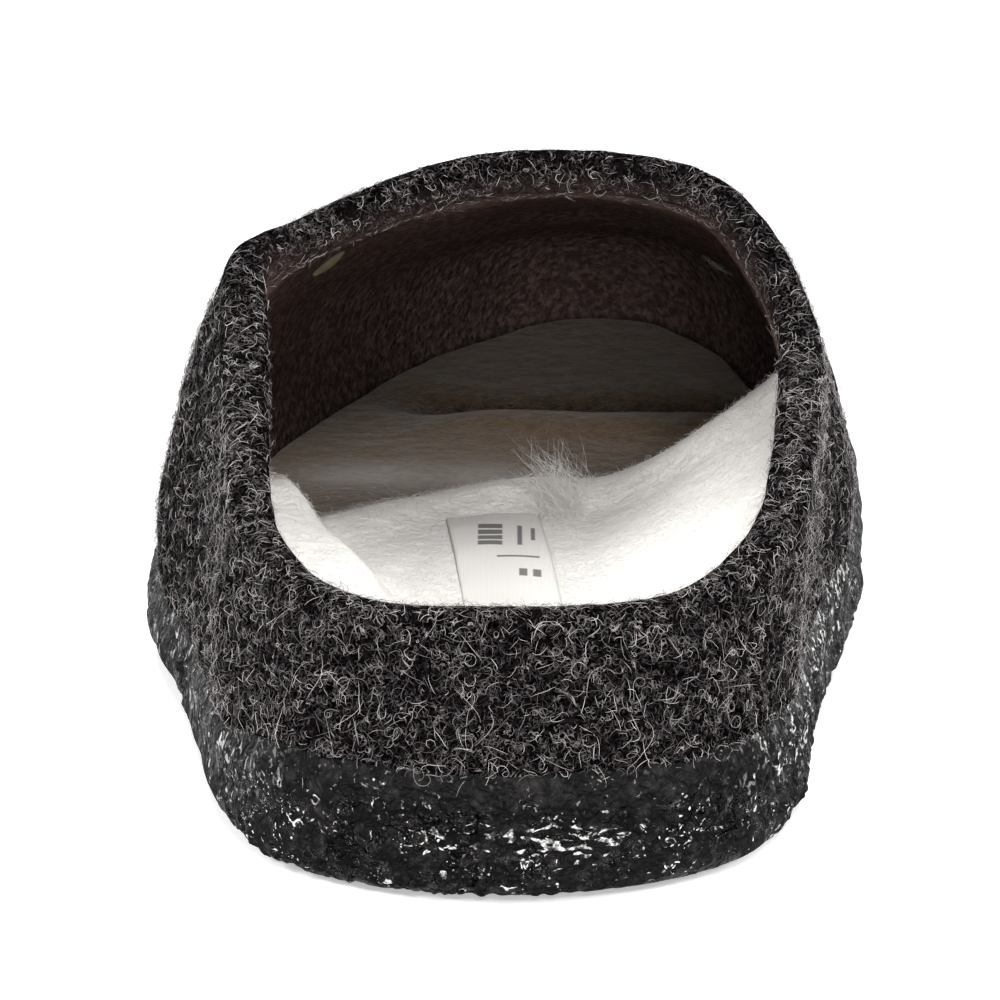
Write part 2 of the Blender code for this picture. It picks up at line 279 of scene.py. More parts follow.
def cubic_through(knots: Array, values: Array, starts: Array, ends: Array, places: Array) -> Array:
    """Cubic pieces between knots: each leaves with its start slope and arrives with its end slope.

    Args:
        knots: Rising places of the points, one set or one per rib.
        values: The points' values.
        starts: Slope with which each piece leaves its first knot.
        ends: Slope with which each piece arrives at its second knot.
        places: Where the curve is read.

    Returns:
        The curve's values at those places.
    """
    result = np.zeros(np.broadcast_shapes(places.shape, values.shape[1:]))
    for piece in range(len(knots) - 1):
        width = knots[piece + 1] - knots[piece]
        share = np.clip((places - knots[piece]) / width, 0.0, 1.0)
        square = share * share
        cube = square * share
        curve = (
            (2 * cube - 3 * square + 1) * values[piece]
            + (cube - 2 * square + share) * width * starts[piece]
            + (3 * square - 2 * cube) * values[piece + 1]
            + (cube - square) * width * ends[piece]
        )
        result = np.where(places >= knots[piece], curve, result)
    return result


class Outline:
    """Every rib's values, read anywhere around the slipper from the smooth loop through the table."""

    def __init__(self) -> None:
        """Measure the loop's chords and slopes; the opening's edge keeps a corner at the two corner ribs."""
        rows = np.array([rib[1:] for rib in LOOP])
        x = rows[:, 1] * half_width(rows[:, 0])
        y = (rows[:, 0] - 0.5) * LENGTH
        edge_x = rows[:, 3] * OPENING_WIDTH / 2
        edge_y = rows[:, 2] * OPENING_LENGTH - LENGTH / 2
        edge_z = RIM_HEIGHT + rows[:, 4] * (INSTEP_HEIGHT - RIM_HEIGHT)
        table = np.column_stack([x, y, edge_x, edge_y, edge_z, rows[:, 5:]])
        count = len(table)
        around = np.concatenate([table[-2:], table, table[:3]])
        chords = np.linalg.norm(np.diff(around[:, :2], axis=0), axis=1)
        knots = np.concatenate([[0.0], np.cumsum(chords)])
        slopes = three_point_slopes(knots[:, None], around)
        leaving = slopes.copy()
        arriving = slopes.copy()
        secants = np.diff(around, axis=0) / np.diff(knots)[:, None]
        for corner in (2 + CORNER_ROW, 2 + count - CORNER_ROW):
            leaving[corner, 2:5] = secants[corner, 2:5]
            arriving[corner, 2:5] = secants[corner - 1, 2:5]
        kept = slice(2, count + 3)
        self.knots = knots[kept] - knots[2]
        self.values = around[kept]
        self.leaving = leaving[kept]
        self.arriving = arriving[kept][1:]
        self.toe_knot = self.knots[len(LATERAL) + 1]

    def at(self, places: Array) -> Array:
        """The ribs' values at places along the loop.

        Args:
            places: Distances along the loop of chords from the heel.

        Returns:
            One row of rib values for each place.
        """
        return cubic_through(self.knots, self.values, self.leaving, self.arriving, places[:, None])

    def ring(self, stations: int) -> Array:
        """Rib values at stations up the lateral side from heel to toe, then back down the medial one.

        Args:
            stations: How many steps there are from heel to toe.

        Returns:
            One row of rib values for each rib, twice the stations in all.
        """
        half = stations // 2
        rear = CORNER_ALONG * (1 - np.cos(np.linspace(0, np.pi / 2, half)))
        front = CORNER_ALONG + (1 - CORNER_ALONG) * np.sin(np.linspace(0, np.pi / 2, stations - half + 2))
        along = np.concatenate([rear, front[1:]])
        dense = np.linspace(0, self.toe_knot, 4000)
        lateral = np.interp(along, self.at(dense)[:, 1] / LENGTH + 0.5, dense)
        dense = np.linspace(self.knots[-1], self.toe_knot, 4000)
        medial = np.interp(along, self.at(dense)[:, 1] / LENGTH + 0.5, dense)
        return self.at(np.concatenate([lateral, medial[-2:0:-1]]))


def softened(edge: Array, reach: float) -> Array:
    """A closed line with its corners rounded: each point is the mean of its surroundings, weighed by a bell.

    Args:
        edge: The line's points.
        reach: The bell's width in metres.

    Returns:
        The rounded line.
    """
    steps = np.linalg.norm(np.roll(edge, -1, axis=0) - edge, axis=1)
    places = np.concatenate([[0.0], np.cumsum(steps)])
    apart = np.abs(places[:-1, None] - places[None, :-1])
    apart = np.minimum(apart, places[-1] - apart)
    weight = bell(apart, reach) * (steps + np.roll(steps, 1))[None, :]
    return weight @ edge / weight.sum(axis=1, keepdims=True)


class Last:
    """The felt's outer surface by two parameters: the rib around the foot and the level up the rib."""

    def __init__(self, stations: int) -> None:
        """Set out the keys of every rib: foot, widest line, two shoulders and the opening's edge.

        Args:
            stations: How many steps there are from heel to toe on each side.
        """
        ring = Outline().ring(stations)
        plan = ring[:, :2]
        tangent = unit(np.roll(plan, -1, axis=0) - np.roll(plan, 1, axis=0))
        inward = np.column_stack([tangent[:, 1], -tangent[:, 0]])
        widest = WIDEST_HEIGHT * ring[:, 5]
        edge = softened(ring[:, 2:5], EDGE_SOFTNESS)
        keys = []
        for inset, rise in FOOT_ROUND:
            place = plan + inward * FOOT_INSET * inset
            keys.append(np.column_stack([place, FELT_BASE + lift(place[:, 1]) + rise * widest]))
        middle = np.column_stack([plan, FELT_BASE + lift(plan[:, 1]) + widest])
        keys.append(middle)
        for reach, rise in ((ring[:, 6], ring[:, 7]), (ring[:, 8], ring[:, 9])):
            keys.append(middle + (edge - middle) * np.column_stack([reach, reach, rise]))
        keys.append(edge)
        self.plan = plan
        self.keys = np.array(keys)
        steps = np.linalg.norm(np.diff(self.keys, axis=0), axis=2)
        lengths = np.concatenate([np.zeros((1, len(ring))), np.cumsum(steps, axis=0)])
        self.rib_lengths = lengths[-1]
        self.knots = (lengths / lengths[-1])[:, :, None]
        self.slopes = three_point_slopes(self.knots, self.keys)

    def points(self, levels: Array) -> Array:
        """The surface at levels.

        Args:
            levels: Rows by ribs, from 0 at the foot to 1 at the edge of the opening.

        Returns:
            Rows by ribs by x, y and z.
        """
        return cubic_through(self.knots, self.keys, self.slopes, self.slopes[1:], levels[:, :, None])

    def level_at(self, height: Array) -> Array:
        """The level at which each rib passes a height over the floor under it.

        Args:
            height: One height in metres for each rib.

        Returns:
            One level for each rib.
        """
        dense = np.linspace(0, 1, 240)
        heights = self.points(np.repeat(dense[:, None], len(self.plan), axis=1))[:, :, 2]
        rises = heights - lift(self.plan[:, 1])
        return np.array([np.interp(height[rib], rises[:, rib], dense) for rib in range(len(self.plan))])


def grid_normals(grid: Array) -> Array:
    """Outward normals of a grid that closes around its ribs: the step up crossed with the step around.

    Args:
        grid: Rows by ribs by x, y and z, with the first row at the foot.

    Returns:
        The unit normals, in the same layout.
    """
    around = np.roll(grid, -1, axis=1) - np.roll(grid, 1, axis=1)
    up = np.gradient(grid, axis=0)
    return unit(np.cross(up, around))


def wrap_quads(rows: int, ribs: int) -> Array:
    """Quads of a grid that closes around its ribs, facing out where the rows run up the outside.

    Args:
        rows: How many rows of points the grid has.
        ribs: How many points are in a row.

    Returns:
        Four point numbers for each face.
    """
    row, rib = np.meshgrid(np.arange(rows - 1), np.arange(ribs), indexing="ij")
    after = (rib + 1) % ribs
    first = row * ribs
    corners = [first + after, first + rib, first + ribs + rib, first + ribs + after]
    return np.stack(corners, axis=-1).reshape(-1, 4)


def rung_quads(start: int, ribs: int, upward: bool) -> Array:
    """A floor laid as rungs across one row: rib i of one side to its partner on the other side.

    Args:
        start: Number of the row's first point.
        ribs: How many points are in the row.
        upward: Whether the faces look up.

    Returns:
        Four point numbers for each face; the two end faces repeat one of theirs.
    """
    index = np.arange(0, ribs // 2)
    partner = (ribs - index) % ribs
    faces = np.stack([index, index + 1, ribs - index - 1, partner], axis=1) + start
    return faces[:, ::-1] if upward else faces


def skin_quads(rows: int, ribs: int) -> Array:
    """A closed skin: the wrapped grid, with a floor of rungs across its first and its last row.

    Args:
        rows: How many rows of points the grid has.
        ribs: How many points are in a row.

    Returns:
        Four point numbers for each face.
    """
    floors = [rung_quads(0, ribs, False), rung_quads((rows - 1) * ribs, ribs, True)]
    return np.concatenate([wrap_quads(rows, ribs), *floors])


def sheet_quads(rows: int, columns: int) -> Array:
    """Quads of an open grid, facing up where rows run along +Y and columns along +X.

    Args:
        rows: How many rows of points the grid has.
        columns: How many points are in a row.

    Returns:
        Four point numbers for each face.
    """
    row, column = np.meshgrid(np.arange(rows - 1), np.arange(columns - 1), indexing="ij")
    first = row * columns + column
    return np.stack([first, first + 1, first + columns + 1, first + columns], axis=-1).reshape(-1, 4)


def grid_border(rows: int, columns: int) -> Array:
    """The border points of an open grid, in order around it.

    Args:
        rows: How many rows of points the grid has.
        columns: How many points are in a row.

    Returns:
        The points' numbers.
    """
    number = rows * columns
    return np.concatenate(
        [
            np.arange(columns),
            np.arange(1, rows) * columns + columns - 1,
            number - 2 - np.arange(columns - 1),
            (rows - 2 - np.arange(rows - 2)) * columns,
        ]
    )


def make_piece(name: str, points: Array, quads: Array, smooth: bool = True) -> Piece:
    """A mesh object at the origin from points and quads. A quad that repeats a point becomes a triangle.

    Args:
        name: The piece's name.
        points: Its points in metres.
        quads: Four point numbers for each face.
        smooth: Whether its faces are shaded round.

    Returns:
        The object, linked to the scene.
    """
    repeated = quads == np.roll(quads, -1, axis=1)
    whole = quads[~repeated.any(axis=1)]
    broken = quads[repeated.any(axis=1)]
    gone = repeated[repeated.any(axis=1)]
    once = gone.sum(axis=1) == 1
    triangles = broken[once][~gone[once]].reshape(-1, 3)
    corners = np.concatenate([whole.reshape(-1), triangles.reshape(-1)]).astype(np.int32)
    sizes = np.concatenate([np.full(len(whole), 4), np.full(len(triangles), 3)])
    starts = np.concatenate([[0], np.cumsum(sizes)[:-1]]).astype(np.int32)
    mesh = bpy.data.meshes.new(name)
    mesh.vertices.add(points.size // 3)
    mesh.vertices.foreach_set("co", points.astype(np.float32).reshape(-1))
    mesh.loops.add(len(corners))
    mesh.loops.foreach_set("vertex_index", corners)
    mesh.polygons.add(len(sizes))
    mesh.polygons.foreach_set("loop_start", starts)
    mesh.update(calc_edges=True)
    mesh.validate()
    if smooth:
        mesh.shade_smooth()
    made = bpy.data.objects.new(name, mesh)
    bpy.context.scene.collection.objects.link(made)
    return made


def thin_sheet(name: str, top: Array, bottom: Array) -> Piece:
    """A closed thin sheet: two open grids, back to back, with a wall around their border.

    Args:
        name: The piece's name.
        top: Rows by columns by x, y and z.
        bottom: The same for the underside.

    Returns:
        The object.
    """
    rows, columns = top.shape[:2]
    faces = sheet_quads(rows, columns)
    number = rows * columns
    border = grid_border(rows, columns)
    after = np.roll(border, -1)
    walls = np.stack([border + number, after + number, after, border], axis=1)
    return make_piece(name, np.stack([top, bottom]), np.concatenate([faces, faces[:, ::-1] + number, walls]))


def set_tone(piece: Piece, name: str, values: Array) -> None:
    """Store one number at each point of a piece for its finish to read, and 0 at points past the given ones.

    Args:
        piece: The piece.
        name: The attribute's name.
        values: One number for each point, from the first.
    """
    stored = np.zeros(len(piece.data.vertices), dtype=np.float32)
    stored[: values.size] = values.reshape(-1)
    attribute = piece.data.attributes.new(name, "FLOAT", "POINT")
    attribute.data.foreach_set("value", stored)


def mount(piece: Piece) -> Piece:
    """Let a piece ride on the slipper's one body, and report it.

    Args:
        piece: The piece.

    Returns:
        The same piece.
    """
    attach(piece, BODY)
    LOG.info("%s: %d faces", piece.name, len(piece.data.polygons))
    return piece


class Recipe:
    """A material under construction: a Principled shader and a few shorthands for its nodes."""

    def __init__(self, name: str, roughness: float) -> None:
        """Start from a plain shader.

        Args:
            name: The material's name.
            roughness: The shader's own roughness.
        """
        self.made = bpy.data.materials.new(name)
        self.made.use_nodes = True
        self.tree = self.made.node_tree
        self.shader = self.tree.nodes["Principled BSDF"]
        self.shader.inputs["Roughness"].default_value = roughness
        self.place = self.tree.nodes.new("ShaderNodeTexCoord").outputs["Object"]

    def put(self, socket: Socket, value: object) -> None:
        """Link a socket to another one, or set its value.

        Args:
            socket: The input.
            value: An output to link, or a number, colour or vector.
        """
        if isinstance(value, Socket):
            self.tree.links.new(value, socket)
        elif isinstance(value, tuple) and len(value) == 3 and socket.type == "RGBA":
            socket.default_value = (*value, 1.0)
        else:
            socket.default_value = value

    def moved(self, scale: Triple, shift: Triple) -> Socket:
        """The place on the slipper, stretched and shifted.

        Args:
            scale: Stretch along x, y and z.
            shift: Shift along x, y and z in metres.

        Returns:
            The vector output.
        """
        node = self.tree.nodes.new("ShaderNodeMapping")
        self.put(node.inputs["Vector"], self.place)
        node.inputs["Scale"].default_value = scale
        node.inputs["Location"].default_value = shift
        return node.outputs["Vector"]

    def noise(
        self, size: float, detail: float = 2.0, twist: float = 0.0, at: Socket | None = None
    ) -> Socket:
        """Cloudy noise.

        Args:
            size: Size of its lumps in metres.
            detail: How many finer layers are added.
            twist: How far it distorts itself.
            at: The place to read, or the plain place.

        Returns:
            The value output, about 0.5 on average.
        """
        node = self.tree.nodes.new("ShaderNodeTexNoise")
        self.put(node.inputs["Vector"], at or self.place)
        node.inputs["Scale"].default_value = 1.0 / size
        node.inputs["Detail"].default_value = detail
        node.inputs["Distortion"].default_value = twist
        return node.outputs["Fac"]

    def cells(self, size: float) -> Socket:
        """Distance inside random cells.

        Args:
            size: Size of a cell in metres.

        Returns:
            The distance output, in cells.
        """
        node = self.tree.nodes.new("ShaderNodeTexVoronoi")
        self.put(node.inputs["Vector"], self.place)
        node.inputs["Scale"].default_value = 1.0 / size
        return node.outputs["Distance"]

    def sum(self, kind: str, first: object, second: object = 0.0, clamp: bool = False) -> Socket:
        """One step of arithmetic.

        Args:
            kind: The operation's name.
            first: First number or output.
            second: Second number or output.
            clamp: Whether the result is kept in 0..1.

        Returns:
            The value output.
        """
        node = self.tree.nodes.new("ShaderNodeMath")
        node.operation = kind
        node.use_clamp = clamp
        self.put(node.inputs[0], first)
        self.put(node.inputs[1], second)
        return node.outputs["Value"]

    def times(self, first: object, second: object) -> Socket:
        """The product of two numbers or outputs."""
        return self.sum("MULTIPLY", first, second)

    def larger(self, first: object, second: object) -> Socket:
        """The larger of two numbers or outputs."""
        return self.sum("MAXIMUM", first, second)

    def span(
        self, value: object, low: float, high: float, to_low: float = 0.0, to_high: float = 1.0
    ) -> Socket:
        """A smooth step from one range to another.

        Args:
            value: What is read.
            low: Where the step starts.
            high: Where it ends.
            to_low: The result at the start.
            to_high: The result at the end.

        Returns:
            The value output.
        """
        node = self.tree.nodes.new("ShaderNodeMapRange")
        node.interpolation_type = "SMOOTHSTEP"
        self.put(node.inputs["Value"], value)
        node.inputs["From Min"].default_value = low
        node.inputs["From Max"].default_value = high
        node.inputs["To Min"].default_value = to_low
        node.inputs["To Max"].default_value = to_high
        return node.outputs["Result"]

    def blend(self, share: object, first: object, second: object) -> Socket:
        """A colour between two.

        Args:
            share: 0 for the first, 1 for the second.
            first: First colour or output.
            second: Second colour or output.

        Returns:
            The colour output.
        """
        node = self.tree.nodes.new("ShaderNodeMix")
        node.data_type = "RGBA"
        self.put(node.inputs[0], share)
        self.put(node.inputs[6], first)
        self.put(node.inputs[7], second)
        return node.outputs[2]

    def tone(self, name: str) -> Socket:
        """A number stored on the piece's points.

        Args:
            name: The attribute's name.

        Returns:
            The value output.
        """
        node = self.tree.nodes.new("ShaderNodeAttribute")
        node.attribute_name = name
        return node.outputs["Fac"]

    def threads(self, size: float, width: float, twist: float, shift: float) -> Socket:
        """Thin curling lines: the places where a cloudy noise passes its middle value.

        Args:
            size: Size of the curls in metres.
            width: Half width of a line, in the noise's own units.
            twist: How far the noise distorts itself.
            shift: Shift that sets this layer apart from others, in metres.

        Returns:
            1 on a line and 0 between lines.
        """
        at = self.moved((1.0, 1.0, 1.0), (shift, -shift, 2 * shift))
        away = self.sum("ABSOLUTE", self.sum("SUBTRACT", self.noise(size, 1.0, twist, at), 0.5))
        return self.span(away, width * 0.4, width, 1.0, 0.0)

    def bump(self, height: object, depth: float, after: Socket | None = None) -> Socket:
        """Relief in the shading.

        Args:
            height: The height output, 0 to 1.
            depth: What a height of 1 stands for, in metres.
            after: Another relief's output to add to.

        Returns:
            The normal output.
        """
        node = self.tree.nodes.new("ShaderNodeBump")
        node.inputs["Distance"].default_value = depth
        self.put(node.inputs["Height"], height)
        if after is not None:
            self.put(node.inputs["Normal"], after)
        return node.outputs["Normal"]

    def finish(self, colour: object, normal: Socket | None = None) -> bpy.types.Material:
        """Connect the colour and the relief.

        Args:
            colour: Base colour or output.
            normal: The relief's output.

        Returns:
            The material.
        """
        self.put(self.shader.inputs["Base Color"], colour)
        if normal is not None:
            self.put(self.shader.inputs["Normal"], normal)
        return self.made


class Threads(NamedTuple):
    """One layer of curling threads, and the patches in which it comes and goes."""

    size: float
    width: float
    twist: float
    shift: float
    patch: float
    detail: float
    start: float
    full: float
    least: float
    most: float

    def drawn(self, recipe: Recipe) -> Socket:
        """The threads times the patches."""
        patches = recipe.span(recipe.noise(self.patch, self.detail), *self[6:])
        return recipe.times(recipe.threads(*self[:4]), patches)


@dataclass(frozen=True)
class BoiledWool:
    """The felt: near black wool full of pale curly fibres outside, darker, browner and matted flat inside."""

    dark: Colour = (0.0004, 0.0003, 0.0003)
    ground: Colour = (0.0034, 0.0024, 0.0026)
    pale: Colour = (0.375, 0.332, 0.336)
    lining_dark: Colour = (0.0650, 0.0425, 0.0392)
    lining_brown: Colour = (0.1600, 0.1080, 0.0950)
    cover: float = 0.70
    layers: tuple[Threads, ...] = (
        Threads(0.00080, 0.034, 0.7, 0.013, 0.0011, 1.0, 0.42, 0.70, 0.01, 0.28),
        Threads(0.0012, 0.026, 1.0, 0.031, 0.0030, 2.0, 0.44, 0.66, 0.02, 0.45),
        Threads(0.0021, 0.015, 1.5, 0.057, 0.0026, 1.0, 0.48, 0.62, 0.0, 0.85),
    )
    lining_threads: Threads = Threads(0.0018, 0.035, 1.2, 0.021, 0.003, 1.0, 0.42, 0.62, 0.0, 0.6)

    def outside(self, recipe: Recipe) -> tuple[Socket, Socket]:
        """Three layers of curling threads over clouded ground, each fading in and out in its own patches.

        Args:
            recipe: The material under construction.

        Returns:
            The colour and the threads' height.
        """
        fine, middle, loose = [layer.drawn(recipe) for layer in self.layers]
        fibres = recipe.larger(recipe.larger(fine, middle), loose)
        ground = recipe.blend(recipe.span(recipe.noise(0.0007, 2.0), 0.38, 0.66), self.dark, self.ground)
        return recipe.blend(recipe.times(fibres, self.cover), ground, self.pale), fibres

    def inside(self, recipe: Recipe) -> Socket:
        """Brown flecks and a few threads on a purple-black ground.

        Args:
            recipe: The material under construction.

        Returns:
            The colour.
        """
        flecks = recipe.span(recipe.noise(0.0013, 3.0, 0.5), 0.38, 0.70)
        flecks = recipe.larger(flecks, self.lining_threads.drawn(recipe))
        return recipe.blend(flecks, self.lining_dark, self.lining_brown)

    def material(self) -> bpy.types.Material:
        """Both looks, blended over the cut edge by the piece's own inside tone.

        Returns:
            The material.
        """
        recipe = Recipe("boiled wool", 1.0)
        recipe.shader.inputs["Specular IOR Level"].default_value = 0.0
        outside, fibres = self.outside(recipe)
        inner = recipe.tone("inside")
        colour = recipe.blend(inner, outside, self.inside(recipe))
        relief = recipe.bump(recipe.noise(0.0012, 3.0), 0.0012)
        height = recipe.times(fibres, recipe.sum("SUBTRACT", 1.0, inner))
        return recipe.finish(colour, recipe.bump(height, 0.0003, relief))


@dataclass(frozen=True)
class FibreFinish:
    """Loose wool fibres, each with its own tone from dark to pale."""

    name: str
    dark: Colour
    pale: Colour

    def material(self) -> bpy.types.Material:
        """A colour by the fibre's tone.

        Returns:
            The material.
        """
        recipe = Recipe(self.name, 0.7)
        recipe.shader.inputs["Specular IOR Level"].default_value = 0.3
        return recipe.finish(recipe.blend(recipe.tone("tone"), self.dark, self.pale))


@dataclass(frozen=True)
class DippedRubber:
    """Dipped and dried black rubber: wet gloss and painted glints on crumbs, and duller stretches under its
    top edge.
    """

    colour: Colour = (0.0016, 0.0013, 0.0014)
    dusty: Colour = (0.0180, 0.0154, 0.0152)
    # Painted highlight: the colour of the bright flecks painted where glints would be.
    glint: Colour = (0.7500, 0.7400, 0.7300)
    matte: float = 0.72
    wet: float = 0.12
    specular: float = 0.20
    # How strongly the gleam tone gathers painted glint pools at the heel's middle.
    glint_pooling: float = 0.135

    def material(self) -> bpy.types.Material:
        """Crumbs, grains and painted highlights: bright flecks painted where wet crumbs would catch the
        light, with the real gloss in patches.

        Returns:
            The material.
        """
        recipe = Recipe("dipped rubber", 0.4)
        recipe.shader.inputs["Specular IOR Level"].default_value = self.specular
        crumbs = recipe.noise(0.0019, 2.5, 0.9)
        grains = recipe.span(recipe.cells(0.0014), 0.08, 0.46, 1.0, 0.0)
        patches = recipe.noise(0.0055, 2.0)
        grains = recipe.times(grains, recipe.span(patches, 0.44, 0.58))
        wet = recipe.times(recipe.span(recipe.noise(0.0040, 2.0), 0.42, 0.58), recipe.tone("wet"))
        recipe.put(recipe.shader.inputs["Roughness"], recipe.span(wet, 0.0, 1.0, self.matte, self.wet))
        dust = recipe.span(recipe.noise(0.0020, 4.0), 0.46, 0.74)
        colour = recipe.blend(dust, self.colour, self.dusty)
        # Painted highlights: sparks on the wet crumbs, grazing streaks up the sides, scattered points and
        # glint pools at the heel, all painted into the colour.
        sparks = recipe.noise(0.00155, 3.0, 1.8, recipe.moved((1.0, 1.0, 1.0), (0.3, 0.1, 0.2)))
        streaks = recipe.noise(0.00080, 2.0, 0.8, recipe.moved((1.0, 0.45, 0.45), (0.1, 0.2, 0.4)))
        streaks = recipe.span(streaks, 0.56, 0.66)
        streaks = recipe.times(streaks, recipe.span(recipe.noise(0.0050, 2.0), 0.40, 0.60))
        streaks = recipe.times(streaks, recipe.tone("grazing_glint"))
        sparks = recipe.span(sparks, 0.630, 0.675)
        sparks = recipe.times(sparks, recipe.span(recipe.noise(0.0065, 2.0), 0.46, 0.58, 0.03, 1.0))
        sparks = recipe.times(sparks, recipe.tone("wet"))
        points = recipe.span(recipe.cells(0.0012), 0.05, 0.20, 0.80, 0.0)
        points = recipe.times(points, recipe.span(recipe.noise(0.0017, 1.0), 0.58, 0.66))
        points = recipe.times(points, recipe.span(recipe.noise(0.0100, 1.0), 0.42, 0.60, 0.15, 1.0))
        glint_pools = recipe.noise(0.0026, 3.0, 1.6, recipe.moved((0.75, 1.0, 1.5), (0.5, 0.2, 0.1)))
        glint_pools = recipe.sum("ADD", glint_pools, recipe.times(recipe.tone("gleam"), self.glint_pooling))
        glint_pools = recipe.span(glint_pools, 0.660, 0.715)
        glint_pools = recipe.times(glint_pools, recipe.span(recipe.noise(0.0007, 3.0), 0.40, 0.62, 0.06, 0.95))
        sparks = recipe.larger(recipe.larger(sparks, streaks), glint_pools)
        colour = recipe.blend(recipe.larger(sparks, points), colour, self.glint)
        relief = recipe.bump(recipe.noise(0.0005, 2.0), 0.00016)
        relief = recipe.bump(crumbs, 0.0034, relief)
        return recipe.finish(colour, recipe.bump(grains, 0.00060, relief))


@dataclass(frozen=True)
class WhiteWool:
    """The insole's brushed wool: white in the heel, with painted shade in a grey tan under the vamp, where
    the vamp's shadow falls.
    """

    white: Colour = (0.840, 0.820, 0.785)
    cream: Colour = (0.760, 0.735, 0.695)
    # Painted shade: the dark grey tan of the wool in the vamp's shadow.
    shade: Colour = (0.148, 0.080, 0.029)

    def material(self) -> bpy.types.Material:
        """White and cream in soft clouds, blended to the painted shade by the piece's own shade tone, then
        towards black by painted shadow.

        Returns:
            The material.
        """
        recipe = Recipe("white wool", 0.98)
        recipe.shader.inputs["Sheen Weight"].default_value = 0.25
        recipe.shader.inputs["Sheen Roughness"].default_value = 0.5
        recipe.shader.inputs["Specular IOR Level"].default_value = 0.1
        clouds = recipe.span(recipe.noise(0.012, 2.0), 0.40, 0.75)
        wool = recipe.blend(recipe.times(clouds, 0.5), self.white, self.cream)
        nap = recipe.threads(0.0016, 0.06, 1.0, 0.017)
        wool = recipe.blend(recipe.times(nap, 0.18), wool, self.cream)
        colour = recipe.blend(recipe.tone("shade"), wool, self.shade)
        # Painted shadow: grainy darkening inside the painted shade, added to the crease and band shadows,
        # blends towards black.
        grain = recipe.span(recipe.noise(0.0016, 3.0), 0.30, 0.75, 0.0, 0.35)
        painted_shadow = recipe.sum("ADD", recipe.tone("painted_shadow"), recipe.times(recipe.tone("shade"), grain), clamp=True)
        colour = recipe.blend(painted_shadow, colour, (0.0, 0.0, 0.0))
        relief = recipe.bump(recipe.noise(0.0035, 3.0), 0.0008)
        return recipe.finish(colour, recipe.bump(nap, 0.00012, relief))


@dataclass(frozen=True)
class WovenTape:
    """The label's fine white weave."""

    white: Colour = (0.810, 0.790, 0.760)
    shadow: Colour = (0.660, 0.640, 0.620)
    edge: Colour = (0.500, 0.480, 0.460)
    thread: float = 0.00035
    black: Colour = (0.0300, 0.0280, 0.0280)
    soft: float = 0.00015
    gaps: float = 0.20
    ink: float = 0.78
    printed: tuple[tuple[float, float, float, float], ...] = (
        (-0.0056, -0.0020, -0.0225, -0.0200),
        (-0.0056, -0.0020, -0.0192, -0.0168),
        (-0.0056, -0.0020, -0.0160, -0.0136),
        (-0.0056, -0.0020, -0.0128, -0.0104),
        (0.0002, 0.0009, -0.0220, -0.0110),
        (0.0022, 0.0028, -0.0190, -0.0120),
        (-0.0028, 0.0034, -0.0286, -0.0278),
        (0.0004, 0.0016, -0.0365, -0.0335),
        (0.0024, 0.0036, -0.0365, -0.0335),
    )

    def bars(self, recipe: Recipe) -> Socket:
        """Plain bars where such a tape is usually printed, each the product of four smooth steps.

        Args:
            recipe: The material under construction.

        Returns:
            1 inside a bar and 0 outside.
        """
        split = recipe.tree.nodes.new("ShaderNodeSeparateXYZ")
        recipe.put(split.inputs["Vector"], recipe.place)
        soft = self.soft
        ink = 0.0
        for left, right, near, far in self.printed:
            inside = 1.0
            for name, low, high in (("X", left, right), ("Y", near, far)):
                reading = split.outputs[name]
                inside = recipe.times(inside, recipe.span(reading, low - soft, low + soft))
                inside = recipe.times(inside, recipe.span(reading, high - soft, high + soft, 1.0, 0.0))
            ink = recipe.larger(ink, inside)
        return ink

    def material(self) -> bpy.types.Material:
        """Two crossed sets of threads as ripples in the relief, and the bars.

        Returns:
            The material.
        """
        recipe = Recipe("woven tape", 0.8)
        waves = []
        for direction in ("X", "Y"):
            node = recipe.tree.nodes.new("ShaderNodeTexWave")
            node.bands_direction = direction
            recipe.put(node.inputs["Vector"], recipe.place)
            node.inputs["Scale"].default_value = 0.05 * 2 * math.pi / self.thread
            waves.append(node.outputs["Fac"])
        weave = recipe.times(waves[0], waves[1])
        gaps = recipe.times(recipe.sum("SUBTRACT", 1.0, weave), self.gaps)
        colour = recipe.blend(gaps, self.white, self.shadow)
        colour = recipe.blend(recipe.times(self.bars(recipe), self.ink), colour, self.black)
        colour = recipe.blend(recipe.tone("border"), colour, self.edge)
        return recipe.finish(colour, recipe.bump(weave, 0.00005))


def scatter(grid: Array, weight: Array, count: int, seed: int) -> tuple[Array, Array, Array]:
    """Random places on a grid that closes around its ribs, by the area and the weight of its faces.

    Args:
        grid: Rows by ribs by x, y and z.
        weight: Rows by ribs, how much a place is favoured.
        count: How many places.
        seed: The source of random numbers.

    Returns:
        The places, the unit normals and the unit directions around the grid.
    """
    random = np.random.default_rng(seed)
    right = np.roll(grid, -1, axis=1) - grid
    up = np.roll(grid, -1, axis=0) - grid
    normal = np.cross(up, right)
    chance = np.linalg.norm(normal, axis=2) * weight
    chance[-1] = 0.0
    chosen = random.choice(chance.size, count, p=(chance / chance.sum()).reshape(-1))
    row, rib = np.divmod(chosen, grid.shape[1])
    part = random.random((count, 2, 1))
    place = grid[row, rib] + right[row, rib] * part[:, 0] + up[row, rib] * part[:, 1]
    return place, unit(normal[row, rib]), unit(right[row, rib])


